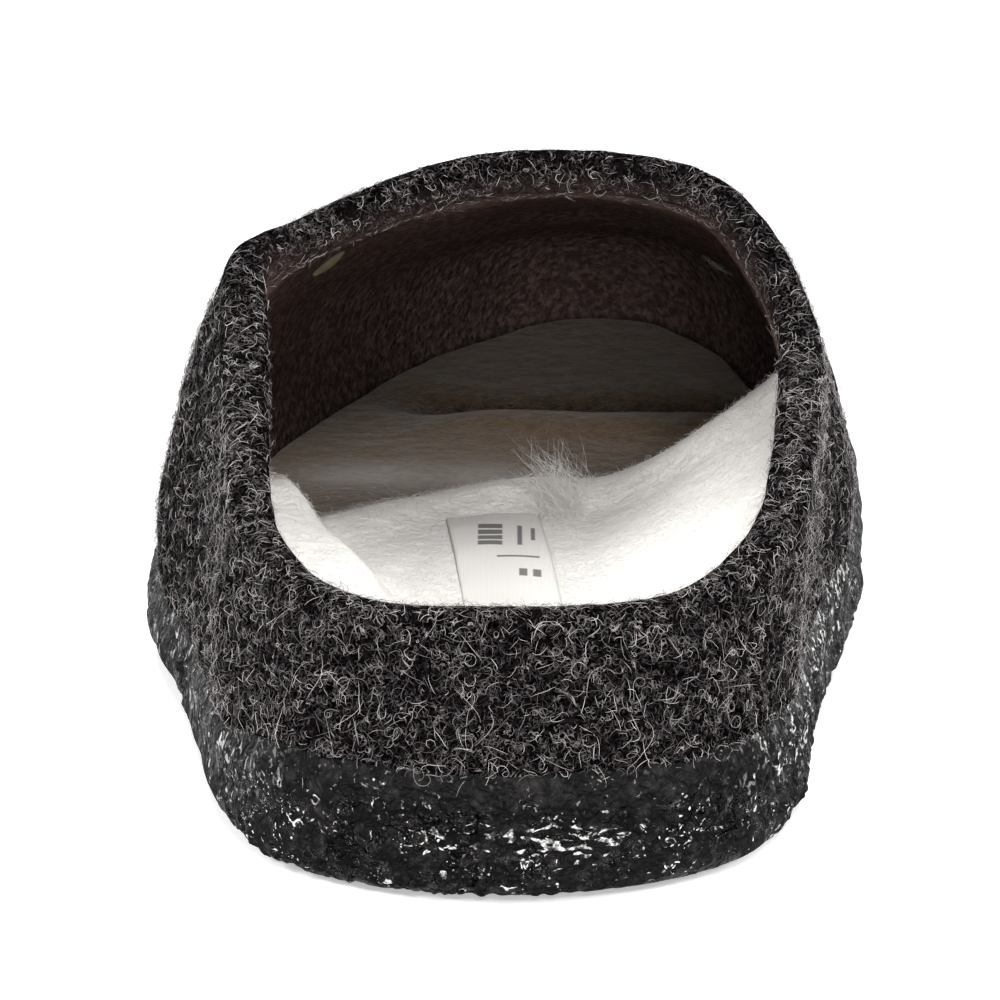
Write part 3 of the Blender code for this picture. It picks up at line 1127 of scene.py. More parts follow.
@dataclass(frozen=True)
class FibreField:
    """A crowd of curling fibres as one joined mesh of thin three-sided tubes that taper to both ends.

    A fibre's heading turns by its own curl as it runs, so it draws arcs and loops in the surface's plane,
    while its height over the surface follows a low arch or rises to a free tip.
    """

    name: str
    count: int
    length: tuple[float, float]
    radius: float
    curl: float
    arch: float
    free: float
    rings: int
    seed: int
    tones: Triple = (0.0, 1.0, 3.2)
    few_tall: float = 3.0
    lean: Triple = (0.0, 0.0, 0.0)
    facing: float = 1.0

    def paths(self, base: Array, normal: Array, along: Array, random: np.random.Generator) -> Array:
        """The fibres' centre lines.

        Args:
            base: Where each fibre stands.
            normal: The surface's normal there.
            along: A direction in the surface there.
            random: The source of random numbers.

        Returns:
            Fibres by rings by x, y and z.
        """
        number = len(base)
        share = np.linspace(0.0, 1.0, self.rings)[None, :]
        length = random.uniform(*self.length, (number, 1)) * random.uniform(0.6, 1.0, (number, 1))
        step = length / (self.rings - 1)
        bend = random.normal(0.0, self.curl, (number, 1)) * (1.0 + 0.9 * np.sin(
            random.uniform(0, 2 * np.pi, (number, 1)) + share * random.uniform(2, 6, (number, 1))
        ))
        heading = random.uniform(0, 2 * np.pi, (number, 1)) + np.cumsum(bend * step, axis=1)
        run = np.cumsum(np.cos(heading) * step, axis=1)
        drift = np.cumsum(np.sin(heading) * step, axis=1)
        arch = self.arch * random.uniform(0.1, 1.0, (number, 1)) * np.sin(np.pi * share) ** 0.8
        turns = random.uniform(0, 2 * np.pi, (number, 1)) + share * random.uniform(4, 9, (number, 1))
        arch = arch * (1.0 + 0.5 * np.sin(turns))
        rising = self.free * random.uniform(0.0, 1.0, (number, 1)) ** self.few_tall * share**1.6
        height = arch + rising - 0.5 * self.radius
        aside = rising[:, :, None] * np.array(self.lean)
        side = np.cross(normal, along)
        return (
            base[:, None, :]
            + along[:, None, :] * (run - run.mean(axis=1, keepdims=True))[:, :, None]
            + side[:, None, :] * (drift - drift.mean(axis=1, keepdims=True))[:, :, None]
            + normal[:, None, :] * height[:, :, None]
            + aside
        )

    def build(self, base: Array, normal: Array, along: Array) -> Piece:
        """Grow the fibres and join them.

        Args:
            base: Where each fibre stands.
            normal: The surface's normal there.
            along: A direction in the surface there.

        Returns:
            The piece.
        """
        random = np.random.default_rng(self.seed)
        lines = self.paths(base, normal, along, random)
        forward = unit(np.gradient(lines, axis=1))
        side = unit(np.cross(forward, normal[:, None, :] + 1e-4))
        over = np.cross(forward, side)
        share = np.linspace(0.0, 1.0, self.rings)
        taper = (0.25 + 0.75 * np.sin(np.pi * np.clip(share, 0.03, 0.97)) ** 0.5)[None, :, None, None]
        thick = random.uniform(0.7, 1.25, (len(base), 1, 1, 1)) * self.radius * taper
        turns = np.array([0.0, 2 * np.pi / 3, 4 * np.pi / 3])[None, None, :, None]
        around = side[:, :, None, :] * np.cos(turns) + over[:, :, None, :] * np.sin(turns)
        points = lines[:, :, None, :] + around * thick
        first = np.arange(len(base))[:, None, None] * self.rings * 3
        ring = np.arange(self.rings - 1)[None, :, None] * 3
        corner = np.arange(3)[None, None, :]
        after = (corner + 1) % 3
        low = first + ring
        sides = [low + corner, low + after, low + 3 + after, low + 3 + corner]
        walls = np.stack(sides, axis=-1).reshape(-1, 4)
        start = (np.arange(len(base)) * self.rings * 3)[:, None]
        end = start + (self.rings - 1) * 3
        caps = [start + np.array([2, 1, 0, 0]), end + np.array([0, 1, 2, 2])]
        piece = make_piece(self.name, points, np.concatenate([walls, *caps]))
        low_tone, high_tone, power = self.tones
        tone = low_tone + (high_tone - low_tone) * random.uniform(0, 1, len(base)) ** power
        set_tone(piece, "tone", np.repeat(tone, self.rings * 3))
        return piece

    def cover(self, grid: Array, weight: Array, seed: int, slot: str, finish: bpy.types.Material) -> None:
        """Grow the fibres on a grid and dress them.

        Args:
            grid: Rows by ribs by x, y and z.
            weight: Rows by ribs, how much a place is favoured.
            seed: The source of the places.
            slot: Not used.
            finish: The fibres' material.
        """
        place, normal, along = scatter(grid, weight, self.count, seed)
        piece = self.build(place, normal * self.facing, along)
        piece.data.materials.append(finish)
        mount(piece)


@dataclass
class FeltUpper:
    """The moulded felt: outer wall, cut edge and inner wall as one closed skin, and the fibres on it."""

    stations: int = 250
    outer_rows: int = 80
    inner_rows: int = 54
    lip_radius: float = 0.0020
    lip_steps: tuple[float, ...] = (0.0, 0.12, 0.35, 0.65, 1.0)
    lining_start: float = 0.0085
    lining_fade: float = 0.0140
    turned_rows: int = 8
    throat_start: float = 0.0550
    throat_reach: float = 0.0300
    lumps: Lumps = Lumps(0.00035, 0.014, 3)
    grain: Lumps = Lumps(0.00012, 0.0031, 5)
    lining_lumps: Lumps = Lumps(0.000455, 0.011, 7)
    edge_grain: Lumps = Lumps(0.00018, 0.0030, 9)
    edge_waves: Lumps = Lumps(0.00028, 0.0060, 11)
    low_clear: float = 0.0012
    wool: BoiledWool = BoiledWool()
    fibre: FibreFinish = FibreFinish("pale fibres", (0.006, 0.004, 0.004), (0.720, 0.675, 0.670))
    fuzz: FibreField = FibreField(
        "felt_fibres", 4250, (0.0012, 0.0042), radius=0.000026, curl=1550.0, arch=0.00065, free=0.0005,
        rings=6, seed=20,
    )
    fringe: FibreField = FibreField(
        "rim_fibres", 2800, (0.0010, 0.0032), radius=0.000027, curl=1100.0, arch=0.0004, free=0.0011,
        rings=5, seed=31, tones=(0.05, 1.0, 1.8),
    )
    stray: FibreField = FibreField(
        "stray_hairs", 420, (0.0035, 0.0090), radius=0.000020, curl=700.0, arch=0.0007, free=0.0014,
        rings=16, seed=33, tones=(0.3, 1.0, 1.2),
    )
    outer: Array = field(init=False)
    lip: Array = field(init=False)
    front: Array = field(init=False)

    def outer_grid(self, last: Last) -> Array:
        """The outer wall up to where its rounded edge starts, with soft lumps and grain along its normals.

        Args:
            last: The shape.

        Returns:
            Rows by ribs by x, y and z.
        """
        top = 1.0 - self.lip_radius / last.rib_lengths
        shares = np.linspace(0, 1, self.outer_rows) ** LOW_CROWDING
        grid = last.points(shares[:, None] * top[None, :])
        swell = (self.lumps.over(grid) + self.grain.over(grid)) * ease(shares * 12)[:, None]
        return grid + grid_normals(grid) * swell[:, :, None]

    def build(self, last: Last) -> Piece:
        """Join the outer wall, the lip and the inner wall into one skin with a floor inside and outside.

        The lip goes round a quarter circle, across the thickness and round a quarter circle again.

        Args:
            last: The shape.

        Returns:
            The piece.
        """
        self.outer = self.outer_grid(last)
        ribs = self.outer.shape[1]
        edge = last.points(np.ones((1, ribs)))[0]
        before = last.points(np.full((1, ribs), 0.97))[0]
        near = last.points(np.stack([np.full(ribs, 0.96), np.ones(ribs)]))
        rising = unit(edge - before)
        out = grid_normals(near)[-1]
        radius = self.lip_radius
        quarter = [(step, radius * (1 - math.sqrt(1 - (1 - step) ** 2))) for step in self.lip_steps]
        lip = [edge - out * radius * step - rising * drop for step, drop in quarter]
        lip += [edge - out * depth for depth in np.linspace(radius, FELT - radius, 6)[1:-1]]
        lip += [edge - out * (FELT - radius * step) - rising * drop for step, drop in quarter[::-1]]
        lip_grid = np.array(lip)
        lip_grid += out * self.edge_grain.over(lip_grid)[:, :, None]
        lip_grid += rising * self.edge_waves.over(lip_grid)[:, :, None]
        floor_top = FELT_BASE + FELT
        low = last.level_at(np.full(ribs, floor_top + self.low_clear))
        high = 1.0 - radius / last.rib_lengths
        shares = np.linspace(1, 0, self.inner_rows)
        levels = low[None, :] + (high - low)[None, :] * shares[:, None]
        body = last.points(levels)
        facing = grid_normals(body[::-1])[::-1]
        inner = body - facing * FELT
        inner[0] = lip_grid[-1]
        fade = ease((1 - shares) * 14)[:, None]
        swell = self.lining_lumps.over(inner) * fade
        inner = inner - facing * swell[:, :, None]
        inner[:, :, 2] = np.maximum(inner[:, :, 2], floor_top + lift(inner[:, :, 1]))
        grid = np.concatenate([self.outer, lip_grid[1:], inner[1:]])
        piece = make_piece("felt_upper", grid, skin_quads(len(grid), ribs))
        piece.data.materials.append(self.wool.material())
        ways = np.linalg.norm(np.diff(grid, axis=0), axis=2)
        way = np.concatenate([np.zeros((1, ribs)), np.cumsum(ways, axis=0)])
        self.front = ease((edge[:, 1] + self.throat_start) / self.throat_reach)
        beyond = way - way[len(self.outer) - 1] - self.lining_start * (1 - 0.60 * self.front)
        set_tone(piece, "inside", ease(beyond / self.lining_fade))
        self.lip = np.concatenate([lip_grid, inner[1 : self.turned_rows + 1]])
        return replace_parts(mount(piece), "upper")

    def grow(self) -> None:
        """Fibres on the heel and both sides, a fringe on the cut edge, and the loose hairs that stand out."""
        finish = self.fibre.material()
        y = self.outer[:, :, 1] + LENGTH / 2
        x = self.outer[:, :, 0]
        low = np.linspace(0, 1, len(self.outer))[:, None]
        clear = ease((low - 0.20) / 0.08)
        heel = ease((0.055 - y) / 0.03) * clear
        reach = (0.25 + 0.75 * ease((0.15 - y) / 0.08)) * clear * (1 - ease((0.055 - y) / 0.03) * 0.8)
        weights = {Side.HEEL: heel, Side.LATERAL: reach * (x < 0), Side.MEDIAL: reach * (x >= 0)}
        for number, (side, weight) in enumerate(weights.items()):
            fuzz = replace(self.fuzz, name=f"{self.fuzz.name}_{side.value}", seed=self.fuzz.seed + number)
            fuzz.cover(self.outer, weight, 40 + number, "upper", finish)
        fading = np.ones(self.lip.shape[:2])
        turned = self.turned_rows + len(self.lip_steps)
        fading[-turned:] = np.linspace(0.75, 0.0, turned)[:, None] ** 1.5
        self.fringe.cover(self.lip, fading * (1 - 0.60 * self.front), 47, "upper", finish)
        self.stray.cover(self.outer, clear * (0.3 + 0.7 * heel), 61, "upper", finish)


@dataclass
class RubberSole:
    """The dipped coat: a thick floor under the felt and a thin crumbly wall up its sides."""

    stations: int = 380
    side_rows: int = 62
    top_height: float = 0.0180
    lateral_dip: tuple[float, float] = (0.0034, 0.0034)
    medial_dip: tuple[float, float] = (0.0008, 0.0010)
    thin_height: float = 0.0075
    feather: float = 0.0035
    feather_edge: float = 0.00035
    sunk: float = 0.0003
    wander: tuple[Lumps, ...] = (Lumps(0.0007, 0.017, 13), Lumps(0.0003, 0.0035, 15))
    blobs: Lumps = Lumps(0.00035, 0.0065, 17)
    crumb_height: float = 0.00085
    crumbs: tuple[Lumps, ...] = (Lumps(1.0, 0.0022, 19), Lumps(0.6, 0.0012, 21))
    crumb_patches: Lumps = Lumps(1.2, 0.011, 23)
    # Painted highlights: the gleam hill gathers painted glint pools at the heel's middle, and the grazing
    # shares set painted grazing streaks on each side.
    gleam: Hill = Hill(0.002, 0.50, 0.020, 0.22)
    dry_share: float = 0.80
    lateral_grazing_glint: float = 0.70
    medial_grazing_glint: float = 1.0
    rubber: DippedRubber = DippedRubber()

    def coat_top(self, last: Last) -> Array:
        """The coat's upper line: lower along the outer side, and uneven where the dip ran.

        Args:
            last: The shape.

        Returns:
            One height for each rib.
        """
        along = last.plan[:, 1] / LENGTH + 0.5
        outer_side = last.plan[:, 0] < 0
        rear = np.where(outer_side, self.lateral_dip[0], self.medial_dip[0]) * ease((along - 0.02) / 0.14)
        front = np.where(outer_side, self.lateral_dip[1], self.medial_dip[1]) * ease((along - 0.18) / 0.20)
        dip = (rear + front) * ease((0.985 - along) / 0.30)
        round_ = np.column_stack([last.plan, np.zeros(len(last.plan))])
        return self.top_height - dip + sum(layer.over(round_) for layer in self.wander)

    def build(self, last: Last) -> Piece:
        """The coat's outside from the foot up, round its thin top edge and down the felt, closed under both.

        Args:
            last: The shape.

        Returns:
            The piece.
        """
        ribs = len(last.plan)
        top = last.level_at(self.coat_top(last))
        shares = np.linspace(0, 1, self.side_rows)
        skin = last.points(shares[:, None] * top[None, :])
        facing = grid_normals(skin)
        rises = skin[:, :, 2] - FELT_BASE - lift(skin[:, :, 1])
        thick = COAT_SIDE + (COAT_BOTTOM - COAT_SIDE) * (1 - ease(rises / self.thin_height))
        left = (self.coat_top(last) - (skin[:, :, 2] - lift(skin[:, :, 1]))) / self.feather
        open_edge = 1.0 - np.clip(left, 0.0, 1.0)
        thick = thick + (self.feather_edge - thick) * open_edge**2
        clear = GAP - (GAP + self.sunk) * open_edge
        facing[0] = (0.0, 0.0, -1.0)
        facing[1:4] = unit(facing[1:4] + np.array([0.0, 0.0, -0.6]))
        inner = skin + facing * clear[:, :, None]
        outer = inner + facing * thick[:, :, None]
        fade = ease(shares * 6)[:, None] * (0.30 + 0.70 * ease((1 - shares) * 5))[:, None]
        crumbs = sum(np.abs(layer.over(outer)) for layer in self.crumbs) - 0.5
        patchy = ease(0.5 + self.crumb_patches.over(outer))
        relief = self.blobs.over(outer) + self.crumb_height * crumbs * patchy
        outer = outer + facing * (relief * fade)[:, :, None]
        outer[:, :, 2] = np.maximum(outer[:, :, 2], lift(outer[:, :, 1]))
        inner_rows = inner[::-4]
        if len(shares) % 4 != 1:
            inner_rows = np.concatenate([inner_rows, inner[:1]])
        grid = np.concatenate([outer, inner_rows])
        piece = make_piece("dipped_sole", grid, skin_quads(len(grid), ribs))
        piece.data.materials.append(self.rubber.material())
        along = last.plan[:, 1] / LENGTH + 0.5
        beside = ease((along - 0.04) / 0.10)
        dry = self.dry_share + (1.0 - self.dry_share) * beside
        wet = 0.25 + 0.75 * ease((dry[None, :] - shares[:, None]) / 0.12)
        wet = np.maximum(wet, ease((shares[:, None] - 0.975) / 0.02))
        set_tone(piece, "wet", wet)
        # Painted highlights: grazing streaks up both sides below the top edge, and glint pools at the middle
        # of the heel.
        painted_light = ease((along - 0.03) / 0.06) * ease((0.55 - along) / 0.25)
        painted_light *= np.where(last.plan[:, 0] < 0, self.lateral_grazing_glint, self.medial_grazing_glint)
        grazing_glint = painted_light[None, :] * ease((shares[:, None] - 0.42) / 0.15)
        set_tone(piece, "grazing_glint", grazing_glint)
        behind = ease((-0.085 - outer[:, :, 1]) / 0.020)
        gleam = behind * self.gleam.over(outer[:, :, 0], shares[:, None])
        gleam = gleam - 0.55 * (1.0 - gleam) * (1.0 - 0.5 * beside[None, :])
        set_tone(piece, "gleam", gleam)
        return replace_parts(mount(piece), "sole")


@dataclass
class WoolInsole:
    """The loose insole: a soft pad with turned-up banks, a fuzzy crest across it and a crease in front."""

    thickness: float = 0.0050
    inset: float = 0.0088
    toe_room: float = 0.0020
    end: float = 0.0320
    medial_bank: float = 0.0200
    medial_crest: float = 0.1300
    medial_fall: float = 0.0240
    medial_at_heel: float = 0.2
    medial_curve: float = 1.4
    lateral_bank: float = 0.0090
    lateral_crest: float = 0.0920
    lateral_fall: float = 0.0120
    lateral_curve: float = 0.7
    lateral_slant: float = 2.5
    lateral_middle: float = 0.0255
    flat_share: float = 0.28
    hump: float = 0.0034
    crease_place: float = 0.1890
    crease_slant: float = -0.06
    crease_depth: float = 0.0024
    crease_reach: float = 0.0050
    ridge_height: float = 0.0018
    ridge_before: float = 0.0120
    ridge_reach: float = 0.0070
    pillow_height: float = 0.0016
    pillow: Hill = Hill(-0.024, 0.132, 0.010, 0.012)
    fold_depth: float = 0.0007
    fold_reach: float = 0.0022
    lumps: tuple[Lumps, ...] = (Lumps(0.00035, 0.013, 31), Lumps(0.00012, 0.004, 33))
    # Two spots of painted light that lighten the painted shade: a lighter patch on the lateral side and a
    # paler hazy spot in the middle.
    painted_light: Hill = Hill(-0.0230, 0.1470, 0.0110, 0.0085)
    hazy: Hill = Hill(-0.0035, 0.1460, 0.0085, 0.0085)
    edge_round: float = 0.0022
    rings: int = 70
    wool: WhiteWool = WhiteWool()
    fibre: FibreFinish = FibreFinish("white fibres", (0.520, 0.480, 0.430), (0.950, 0.930, 0.900))
    nap: FibreField = FibreField(
        "insole_nap", 3600, (0.0008, 0.0026), radius=0.000020, curl=700.0, arch=0.0003, free=0.0011,
        rings=5, seed=51, tones=(0.2, 1.0, 0.8), facing=-1.0,
    )
    tuft: FibreField = FibreField(
        "insole_tuft", 700, (0.0030, 0.0080), radius=0.000019, curl=400.0, arch=0.0008, free=0.0068,
        rings=7, seed=57, tones=(0.3, 1.0, 0.7), few_tall=1.3, lean=(-0.45, 0.25, 0.0), facing=-1.0,
    )
    tuft_spot: Hill = Hill(0.0066, 0.127, 0.0030, 0.006)
    crest_x: tuple[float, ...] = (-0.045, -0.030, -0.022, -0.010, 0.004, 0.045)
    crest_from_heel: tuple[float, ...] = (0.112, 0.112, 0.118, 0.131, 0.134, 0.131)
    loop: Array = field(init=False)
    top: Array = field(init=False)

    def side_edges(self, loop: Array, y: Array) -> tuple[Array, Array]:
        """Plan x of a loop's lateral and medial side at places along the slipper.

        Args:
            loop: The loop in plan.
            y: The places.

        Returns:
            The lateral and the medial x.
        """
        half = len(loop) // 2
        lateral = loop[: half + 1]
        medial = np.concatenate([loop[:1], loop[: half - 1 : -1]])
        return (
            np.interp(y, lateral[:, 1], lateral[:, 0]),
            np.interp(y, medial[:, 1], medial[:, 0]),
        )

    def underside(self, x: Array, y: Array) -> Array:
        """Height of the pad's underside: the felt's floor, the medial bank and the slanting lateral bank.

        Args:
            x: Places across.
            y: Places along.

        Returns:
            Heights in metres.
        """
        lateral, medial = self.side_edges(self.loop, y)
        middle = (lateral + medial) / 2
        half = np.maximum((medial - lateral) / 2, self.thickness)
        from_heel = y + LENGTH / 2
        reach = np.clip(((x - middle) / half - self.flat_share) / (1 - self.flat_share), 0, 1)
        grow = self.medial_at_heel + (1 - self.medial_at_heel) * ease(from_heel / self.medial_crest)
        drop = ease((self.medial_crest + self.medial_fall - from_heel) / self.medial_fall)
        bank = self.medial_bank * reach**self.medial_curve * grow * drop
        reach = np.clip(((middle - x) / half - self.flat_share) / (1 - self.flat_share), 0, 1)
        front = self.lateral_crest - self.lateral_slant * (x + self.lateral_middle)
        drop = ease((front + self.lateral_fall - from_heel) / self.lateral_fall)
        flap = self.lateral_bank * reach**self.lateral_curve * ease(from_heel / self.lateral_crest) * drop
        return FELT_BASE + FELT + GAP + lift(y) + bank + flap

    def crest_line(self, x: Array) -> Array:
        """Where the crest across the pad lies and the painted shade of the vamp's shadow begins, as a
        distance from the heel: nearer on the lateral side.

        Args:
            x: Places across.

        Returns:
            Distances in metres.
        """
        return np.interp(x, self.crest_x, self.crest_from_heel)

    def relief(self, x: Array, y: Array) -> Array:
        """Soft troughs and ridges of the pad's top: the crest's hump, the crease, the fold beside the label.

        Args:
            x: Places across.
            y: Places along.

        Returns:
            Heights in metres over the even pad.
        """
        from_heel = y + LENGTH / 2
        crest = self.crest_line(x)
        rise = ease((from_heel - crest + 0.0125) / 0.0115)
        fall = ease((crest + 0.009 - from_heel) / 0.009)
        across = 0.45 + 0.55 * ease((x + 0.016) / 0.018)
        hump = self.hump * rise * fall * across
        line = from_heel - self.crease_place - self.crease_slant * x
        crease = -self.crease_depth * bell(line, self.crease_reach) * ease((x + 0.026) / 0.016)
        ridge = self.ridge_height * bell(line + self.ridge_before, self.ridge_reach)
        ridge *= ease((x + 0.022) / 0.020)
        pillow = self.pillow_height * self.pillow.over(x, from_heel)
        fold = -self.fold_depth * bell(x + 0.0165 - 0.16 * (from_heel - 0.085), self.fold_reach)
        fold *= ease((from_heel - 0.055) / 0.02) * ease((0.118 - from_heel) / 0.02)
        places = np.stack([x, y, np.zeros_like(x)], axis=-1)
        lumps = sum(layer.over(places) for layer in self.lumps)
        return hump + crease + ridge + pillow + fold + lumps

    def build(self, last: Last) -> Piece:
        """The pad's top as rings scaled from a spine to the border, round its edge and back under.

        Args:
            last: The shape.

        Returns:
            The piece.
        """
        plan = last.plan
        ribs = len(plan)
        half = ribs // 2
        y = np.clip(plan[:, 1], plan[0, 1] + self.end, plan[half, 1] - self.end)
        spine = np.column_stack([sum(self.side_edges(plan, y)) / 2, y])
        towards = unit(spine - plan)
        toe_share = ease((plan[:, 1:] / LENGTH + 0.5 - BALL_START) / (1 - BALL_START))
        self.loop = plan + towards * (self.inset + self.toe_room * toe_share)
        shares = np.linspace(0.02, 1.0, self.rings) ** 0.9
        inner = spine[None] + (self.loop - spine)[None] * shares[:, None, None]
        x = inner[:, :, 0]
        y = inner[:, :, 1]
        span = np.linalg.norm(self.loop - spine, axis=1)[None, :] * (1 - shares[:, None])
        edge = np.sqrt(1 - (1 - np.clip(span / self.edge_round, 0, 1)) ** 2)
        under = self.underside(x, y)
        body = self.thickness * 0.5 + (self.thickness * 0.5 + self.relief(x, y)) * edge
        self.top = np.stack([x, y, under + body], axis=-1)
        bottom = np.stack([x, y, under + 0.5 * self.thickness * (1 - edge)], axis=-1)[::-5]
        bottom = np.concatenate([bottom, np.stack([x, y, under], axis=-1)[:1]])
        grid = np.concatenate([self.top, bottom])
        piece = make_piece("wool_insole", grid, skin_quads(len(grid), ribs)[:, ::-1])
        from_heel = grid[:, :, 1] + LENGTH / 2
        x = grid[:, :, 0]
        crest = self.crest_line(x)
        # Painted shade of the vamp's shadow past the crest, nearer on the far top of the lateral flap,
        # lightened at the two spots of painted light.
        pale = 0.42 * self.painted_light.over(x, from_heel) + 0.40 * self.hazy.over(x, from_heel)
        nearer = 0.008 * ease((-0.030 - x) / 0.008)
        shade = ease((from_heel - crest + nearer - 0.001) / 0.008) * (0.97 - pale)
        set_tone(piece, "shade", shade)
        # Painted shadow, darker still: along the crease, just past the crest on the medial side, and in a
        # band past the crest on the lateral side.
        line = from_heel - self.crease_place - self.crease_slant * x
        dark = 0.62 * bell(line, 0.0070) * ease((x + 0.030) / 0.020)
        near_crest = bell(from_heel - crest - 0.016, 0.013) * ease((x - 0.004) / 0.012)
        near_left = bell(from_heel - crest - 0.008, 0.006) * ease((-0.008 - x) / 0.010)
        set_tone(piece, "painted_shadow", np.clip(dark + 0.30 * near_crest + 0.30 * near_left, 0.0, 0.8))
        piece.data.materials.append(self.wool.material())
        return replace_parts(mount(piece), "insole")

    def grow(self) -> None:
        """Short nap on the heel part, more along its crest and border, and the tuft by the label's end."""
        finish = self.fibre.material()
        from_heel = self.top[:, :, 1] + LENGTH / 2
        x = self.top[:, :, 0]
        near = bell(from_heel - self.crest_line(x) + 0.002, 0.004)
        rim = np.linspace(0, 1, self.rings)[:, None] > 0.90
        weight = (0.04 + 2.5 * near + 0.8 * rim) * (from_heel < 0.140)
        self.nap.cover(self.top, weight, 53, "insole", finish)
        self.tuft.cover(self.top, self.tuft_spot.over(x, from_heel), 59, "insole", finish)


@dataclass
class WovenLabel:
    """The tape on the insole, slightly bowed, with plain bars instead of print."""

    length: float = 0.0470
    width: float = 0.0140
    thickness: float = 0.0005
    place: float = 0.0965
    shift: float = -0.0018
    border: float = 0.0004
    turn: float = 0.07
    slant: float = 0.14
    cells: tuple[int, int] = (60, 22)
    tape: WovenTape = WovenTape()

    def build(self, insole: WoolInsole) -> Piece:
        """A closed thin sheet that follows the pad's top and bows up a little along its middle.

        Args:
            insole: The pad that it lies on.

        Returns:
            The piece.
        """
        crowded = [np.sin(np.linspace(-np.pi / 2, np.pi / 2, count)) for count in self.cells]
        share_y, share_x = np.meshgrid(*crowded, indexing="ij")
        x = self.shift + share_x * self.width / 2
        y = self.place - LENGTH / 2 + share_y * self.length / 2 + self.slant * (x - self.shift) * share_y
        x = x - self.turn * (y - self.place + LENGTH / 2)
        base = insole.underside(x, y) + insole.thickness + insole.relief(x, y)
        bow = 0.00035 * (1 - share_x**2) + 0.00020 * np.sin(share_y * 3.0 + 0.6)
        top = np.stack([x, y, base + bow + self.thickness], axis=-1)
        bottom = top - np.array([0.0, 0.0, self.thickness])
        piece = thin_sheet("woven_label", top, bottom)
        piece.data.set_sharp_from_angle(angle=math.radians(50))
        inwards = np.minimum((1 - np.abs(share_x)) * self.width / 2, (1 - np.abs(share_y)) * self.length / 2)
        set_tone(piece, "border", np.tile(1 - ease(inwards.reshape(-1) / self.border), 2))
        piece.data.materials.append(self.tape.material())
        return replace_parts(mount(piece), "label")


@dataclass
class PaleLensMark:
    """A small mark high on the inner wall of the outer side: a pale tan lens."""

    start: Triple = (-0.0314, 0.0348, 0.0436)
    end: Triple = (-0.0267, 0.0366, 0.0470)
    facing: Triple = (0.650, -0.300, -0.700)
    width: float = 0.0017
    swell: float = 0.0005
    cells: tuple[int, int] = (28, 8)
    flecks: Lumps = Lumps(0.5, 0.0012, 71)
    finish: FibreFinish = FibreFinish("pale tan lens", (0.110, 0.100, 0.055), (0.230, 0.205, 0.120))

    def build(self) -> Piece:
        """A lens between the two ends, half a wave wide, bulging a little out of the wall and closed behind.

        Returns:
            The piece.
        """
        shares = [np.linspace(0, 1, self.cells[0]), np.linspace(-1, 1, self.cells[1])]
        along, across = np.meshgrid(*shares, indexing="ij")
        start = np.array(self.start)
        run = np.array(self.end) - start
        facing = np.array(self.facing)
        side = unit(np.cross(run, facing))
        half = self.width / 2 * np.sin(np.pi * np.clip(along, 0.02, 0.98)) ** 0.7
        raised = self.swell * (1 - across**2) * np.sin(np.pi * along) + 0.0004
        middle = start + along[..., None] * run + (half * across)[..., None] * side
        top = middle + raised[..., None] * facing
        bottom = middle - 0.0008 * facing
        piece = thin_sheet("pale_lens_mark", top, bottom)
        tone = np.clip(0.5 + self.flecks.over(top), 0, 1)
        set_tone(piece, "tone", np.tile(tone.reshape(-1), 2))
        piece.data.materials.append(self.finish.material())
        return mount(piece)


@dataclass
class Lint:
    """A wisp of pale lint that clings to the inner wall by the toes."""

    place: Triple = (0.0340, 0.0880, 0.0321)
    facing: Triple = (-0.624, -0.226, -0.748)
    reach: tuple[float, float] = (0.0040, 0.0016)
    seed: int = 83
    fibres: FibreField = FibreField(
        "lint", 90, (0.0010, 0.0035), radius=0.000020, curl=500.0, arch=0.0005, free=0.0004,
        rings=6, seed=89, tones=(0.1, 1.0, 1.0),
    )
    finish: FibreFinish = FibreFinish("lint", (0.200, 0.180, 0.180), (0.550, 0.520, 0.520))

    def build(self) -> Piece:
        """Fibres around one place on the wall, spread wider along it than down it.

        Returns:
            The piece.
        """
        count = self.fibres.count
        random = np.random.default_rng(self.seed)
        facing = np.array(self.facing)
        along = unit(np.cross(facing, np.array([0.0, 0.0, 1.0])))
        down = np.cross(facing, along)
        spread = random.normal(0.0, 0.5, (count, 2)) * np.array(self.reach)
        base = np.array(self.place) + spread[:, :1] * along + spread[:, 1:] * down + 0.0002 * facing
        piece = self.fibres.build(base, np.tile(facing, (count, 1)), np.tile(along, (count, 1)))
        piece.data.materials.append(self.finish.material())
        return mount(piece)


@dataclass(frozen=True)
class Softbox:
    """A square area light that looks at the slipper."""

    name: str
    place: Triple
    size: float
    watts: float
    aim: Triple = (0.0, -0.03, 0.03)

    def build(self) -> None:
        """Make the light and turn it to the slipper's middle."""
        lamp = bpy.data.lights.new(self.name, "AREA")
        lamp.size = self.size
        lamp.energy = self.watts
        made = bpy.data.objects.new(self.name, lamp)
        bpy.context.scene.collection.objects.link(made)
        made.location = self.place
        away = Vector(self.aim) - Vector(self.place)
        made.rotation_euler = away.to_track_quat("-Z", "Y").to_euler()


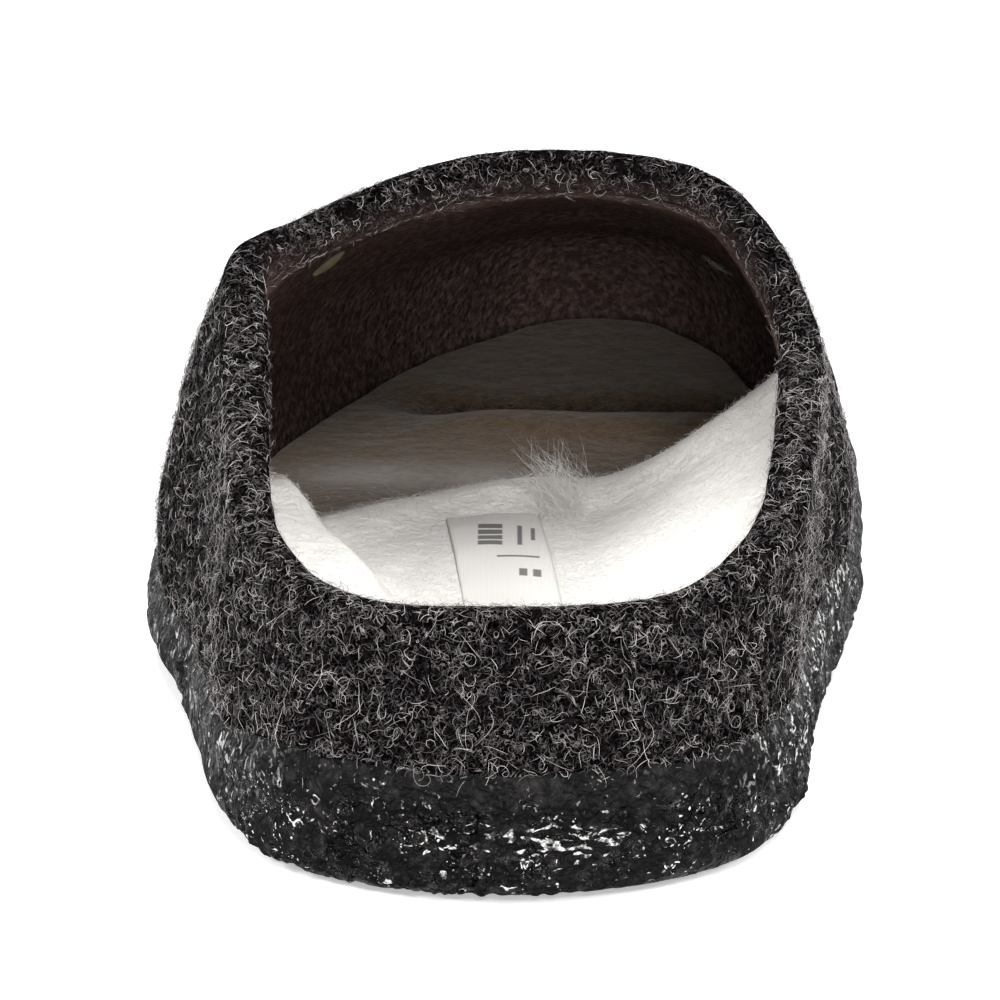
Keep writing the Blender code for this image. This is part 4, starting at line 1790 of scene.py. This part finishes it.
@dataclass(frozen=True)
class Studio:
    """The floor, the lights and the camera at the photograph's viewing angle."""

    elevation: float = 16.5
    distance: float = 0.6685
    focal_pixels: float = 5180.0
    picture: float = 1000.0
    sensor: float = 36.0
    heel_spot: Triple = (-0.00196, -0.1197, 0.0)
    heel_pixel: tuple[float, float] = (503.0, 893.0)
    room_glow: float = 0.40
    floor_half: float = 3.0
    floor_white: Colour = (0.92, 0.92, 0.92)
    far_floor: tuple[float, float] = (0.25, 1.10)
    floor_glow: tuple[float, float] = (0.35, 0.65)
    lights: tuple[Softbox, ...] = (
        Softbox("key over the camera", (0.15, -1.25, 0.95), 0.30, 10.5),
        Softbox("left side", (-0.85, -0.45, 0.70), 0.30, 7.5),
        Softbox("right side", (0.95, -0.30, 0.55), 0.30, 6.5),
        Softbox("over the top", (0.0, 0.1, 1.3), 0.8, 12.5),
        Softbox("low fill", (0.0, -1.6, 0.30), 0.7, 14.0),
        Softbox("behind on the left", (-0.85, 1.05, 0.22), 0.28, 4.0),
        Softbox("behind on the right", (0.85, 1.05, 0.22), 0.28, 4.5),
    )

    def build(self) -> None:
        """Make the floor, the lights, the pale surroundings and the camera."""
        half = self.floor_half
        corners = np.array([[-half, -half, 0.0], [half, -half, 0.0], [half, half, 0.0], [-half, half, 0.0]])
        floor = make_piece("floor", corners, np.array([[0, 1, 2, 3]]), smooth=False)
        recipe = Recipe("pale floor", 0.9)
        recipe.shader.inputs["Emission Color"].default_value = (1.0, 1.0, 1.0, 1.0)
        away = recipe.tree.nodes.new("ShaderNodeVectorMath")
        away.operation = "LENGTH"
        recipe.put(away.inputs[0], recipe.place)
        glow = recipe.span(away.outputs["Value"], *self.far_floor, *self.floor_glow)
        recipe.put(recipe.shader.inputs["Emission Strength"], glow)
        floor.data.materials.append(recipe.finish(self.floor_white))
        floor.visible_glossy = False
        for light in self.lights:
            light.build()
        world = bpy.data.worlds.new("pale room")
        world.use_nodes = True
        background = world.node_tree.nodes["Background"]
        background.inputs["Color"].default_value = (1.0, 1.0, 1.0, 1.0)
        background.inputs["Strength"].default_value = self.room_glow
        bpy.context.scene.world = world
        bpy.context.scene.view_settings.view_transform = "Standard"
        self.camera()

    def camera(self) -> None:
        """Stand the camera so that the heel's spot on the floor falls on its pixel."""
        tilt = math.radians(self.elevation)
        forward = Vector((0.0, math.cos(tilt), -math.sin(tilt)))
        up = Vector((0.0, math.sin(tilt), math.cos(tilt)))
        right = Vector((1.0, 0.0, 0.0))
        metres = self.distance / self.focal_pixels
        middle = self.picture / 2
        aside = (self.heel_pixel[0] - middle) * metres
        below = (self.heel_pixel[1] - middle) * metres
        place = Vector(self.heel_spot) - forward * self.distance - right * aside + up * below
        lens = bpy.data.cameras.new("camera")
        lens.sensor_width = self.sensor
        lens.lens = self.focal_pixels * self.sensor / self.picture
        lens.clip_start = 0.01
        made = bpy.data.objects.new("camera", lens)
        bpy.context.scene.collection.objects.link(made)
        turn = Matrix((right, up, -forward)).transposed().to_4x4()
        made.matrix_world = Matrix.Translation(place) @ turn
        bpy.context.scene.camera = made


def main() -> None:
    """Build every part of the slipper in order, then the studio."""
    logging.basicConfig(level=logging.INFO, format="%(name)s: %(message)s")
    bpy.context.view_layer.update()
    upper = FeltUpper()
    last = Last(upper.stations)
    upper.build(last)
    upper.grow()
    sole = RubberSole()
    sole.build(Last(sole.stations))
    insole = WoolInsole()
    insole.build(Last(200))
    insole.grow()
    WovenLabel().build(insole)
    PaleLensMark().build()
    Lint().build()
    Studio().build()


if __name__ == "__main__":
    main()
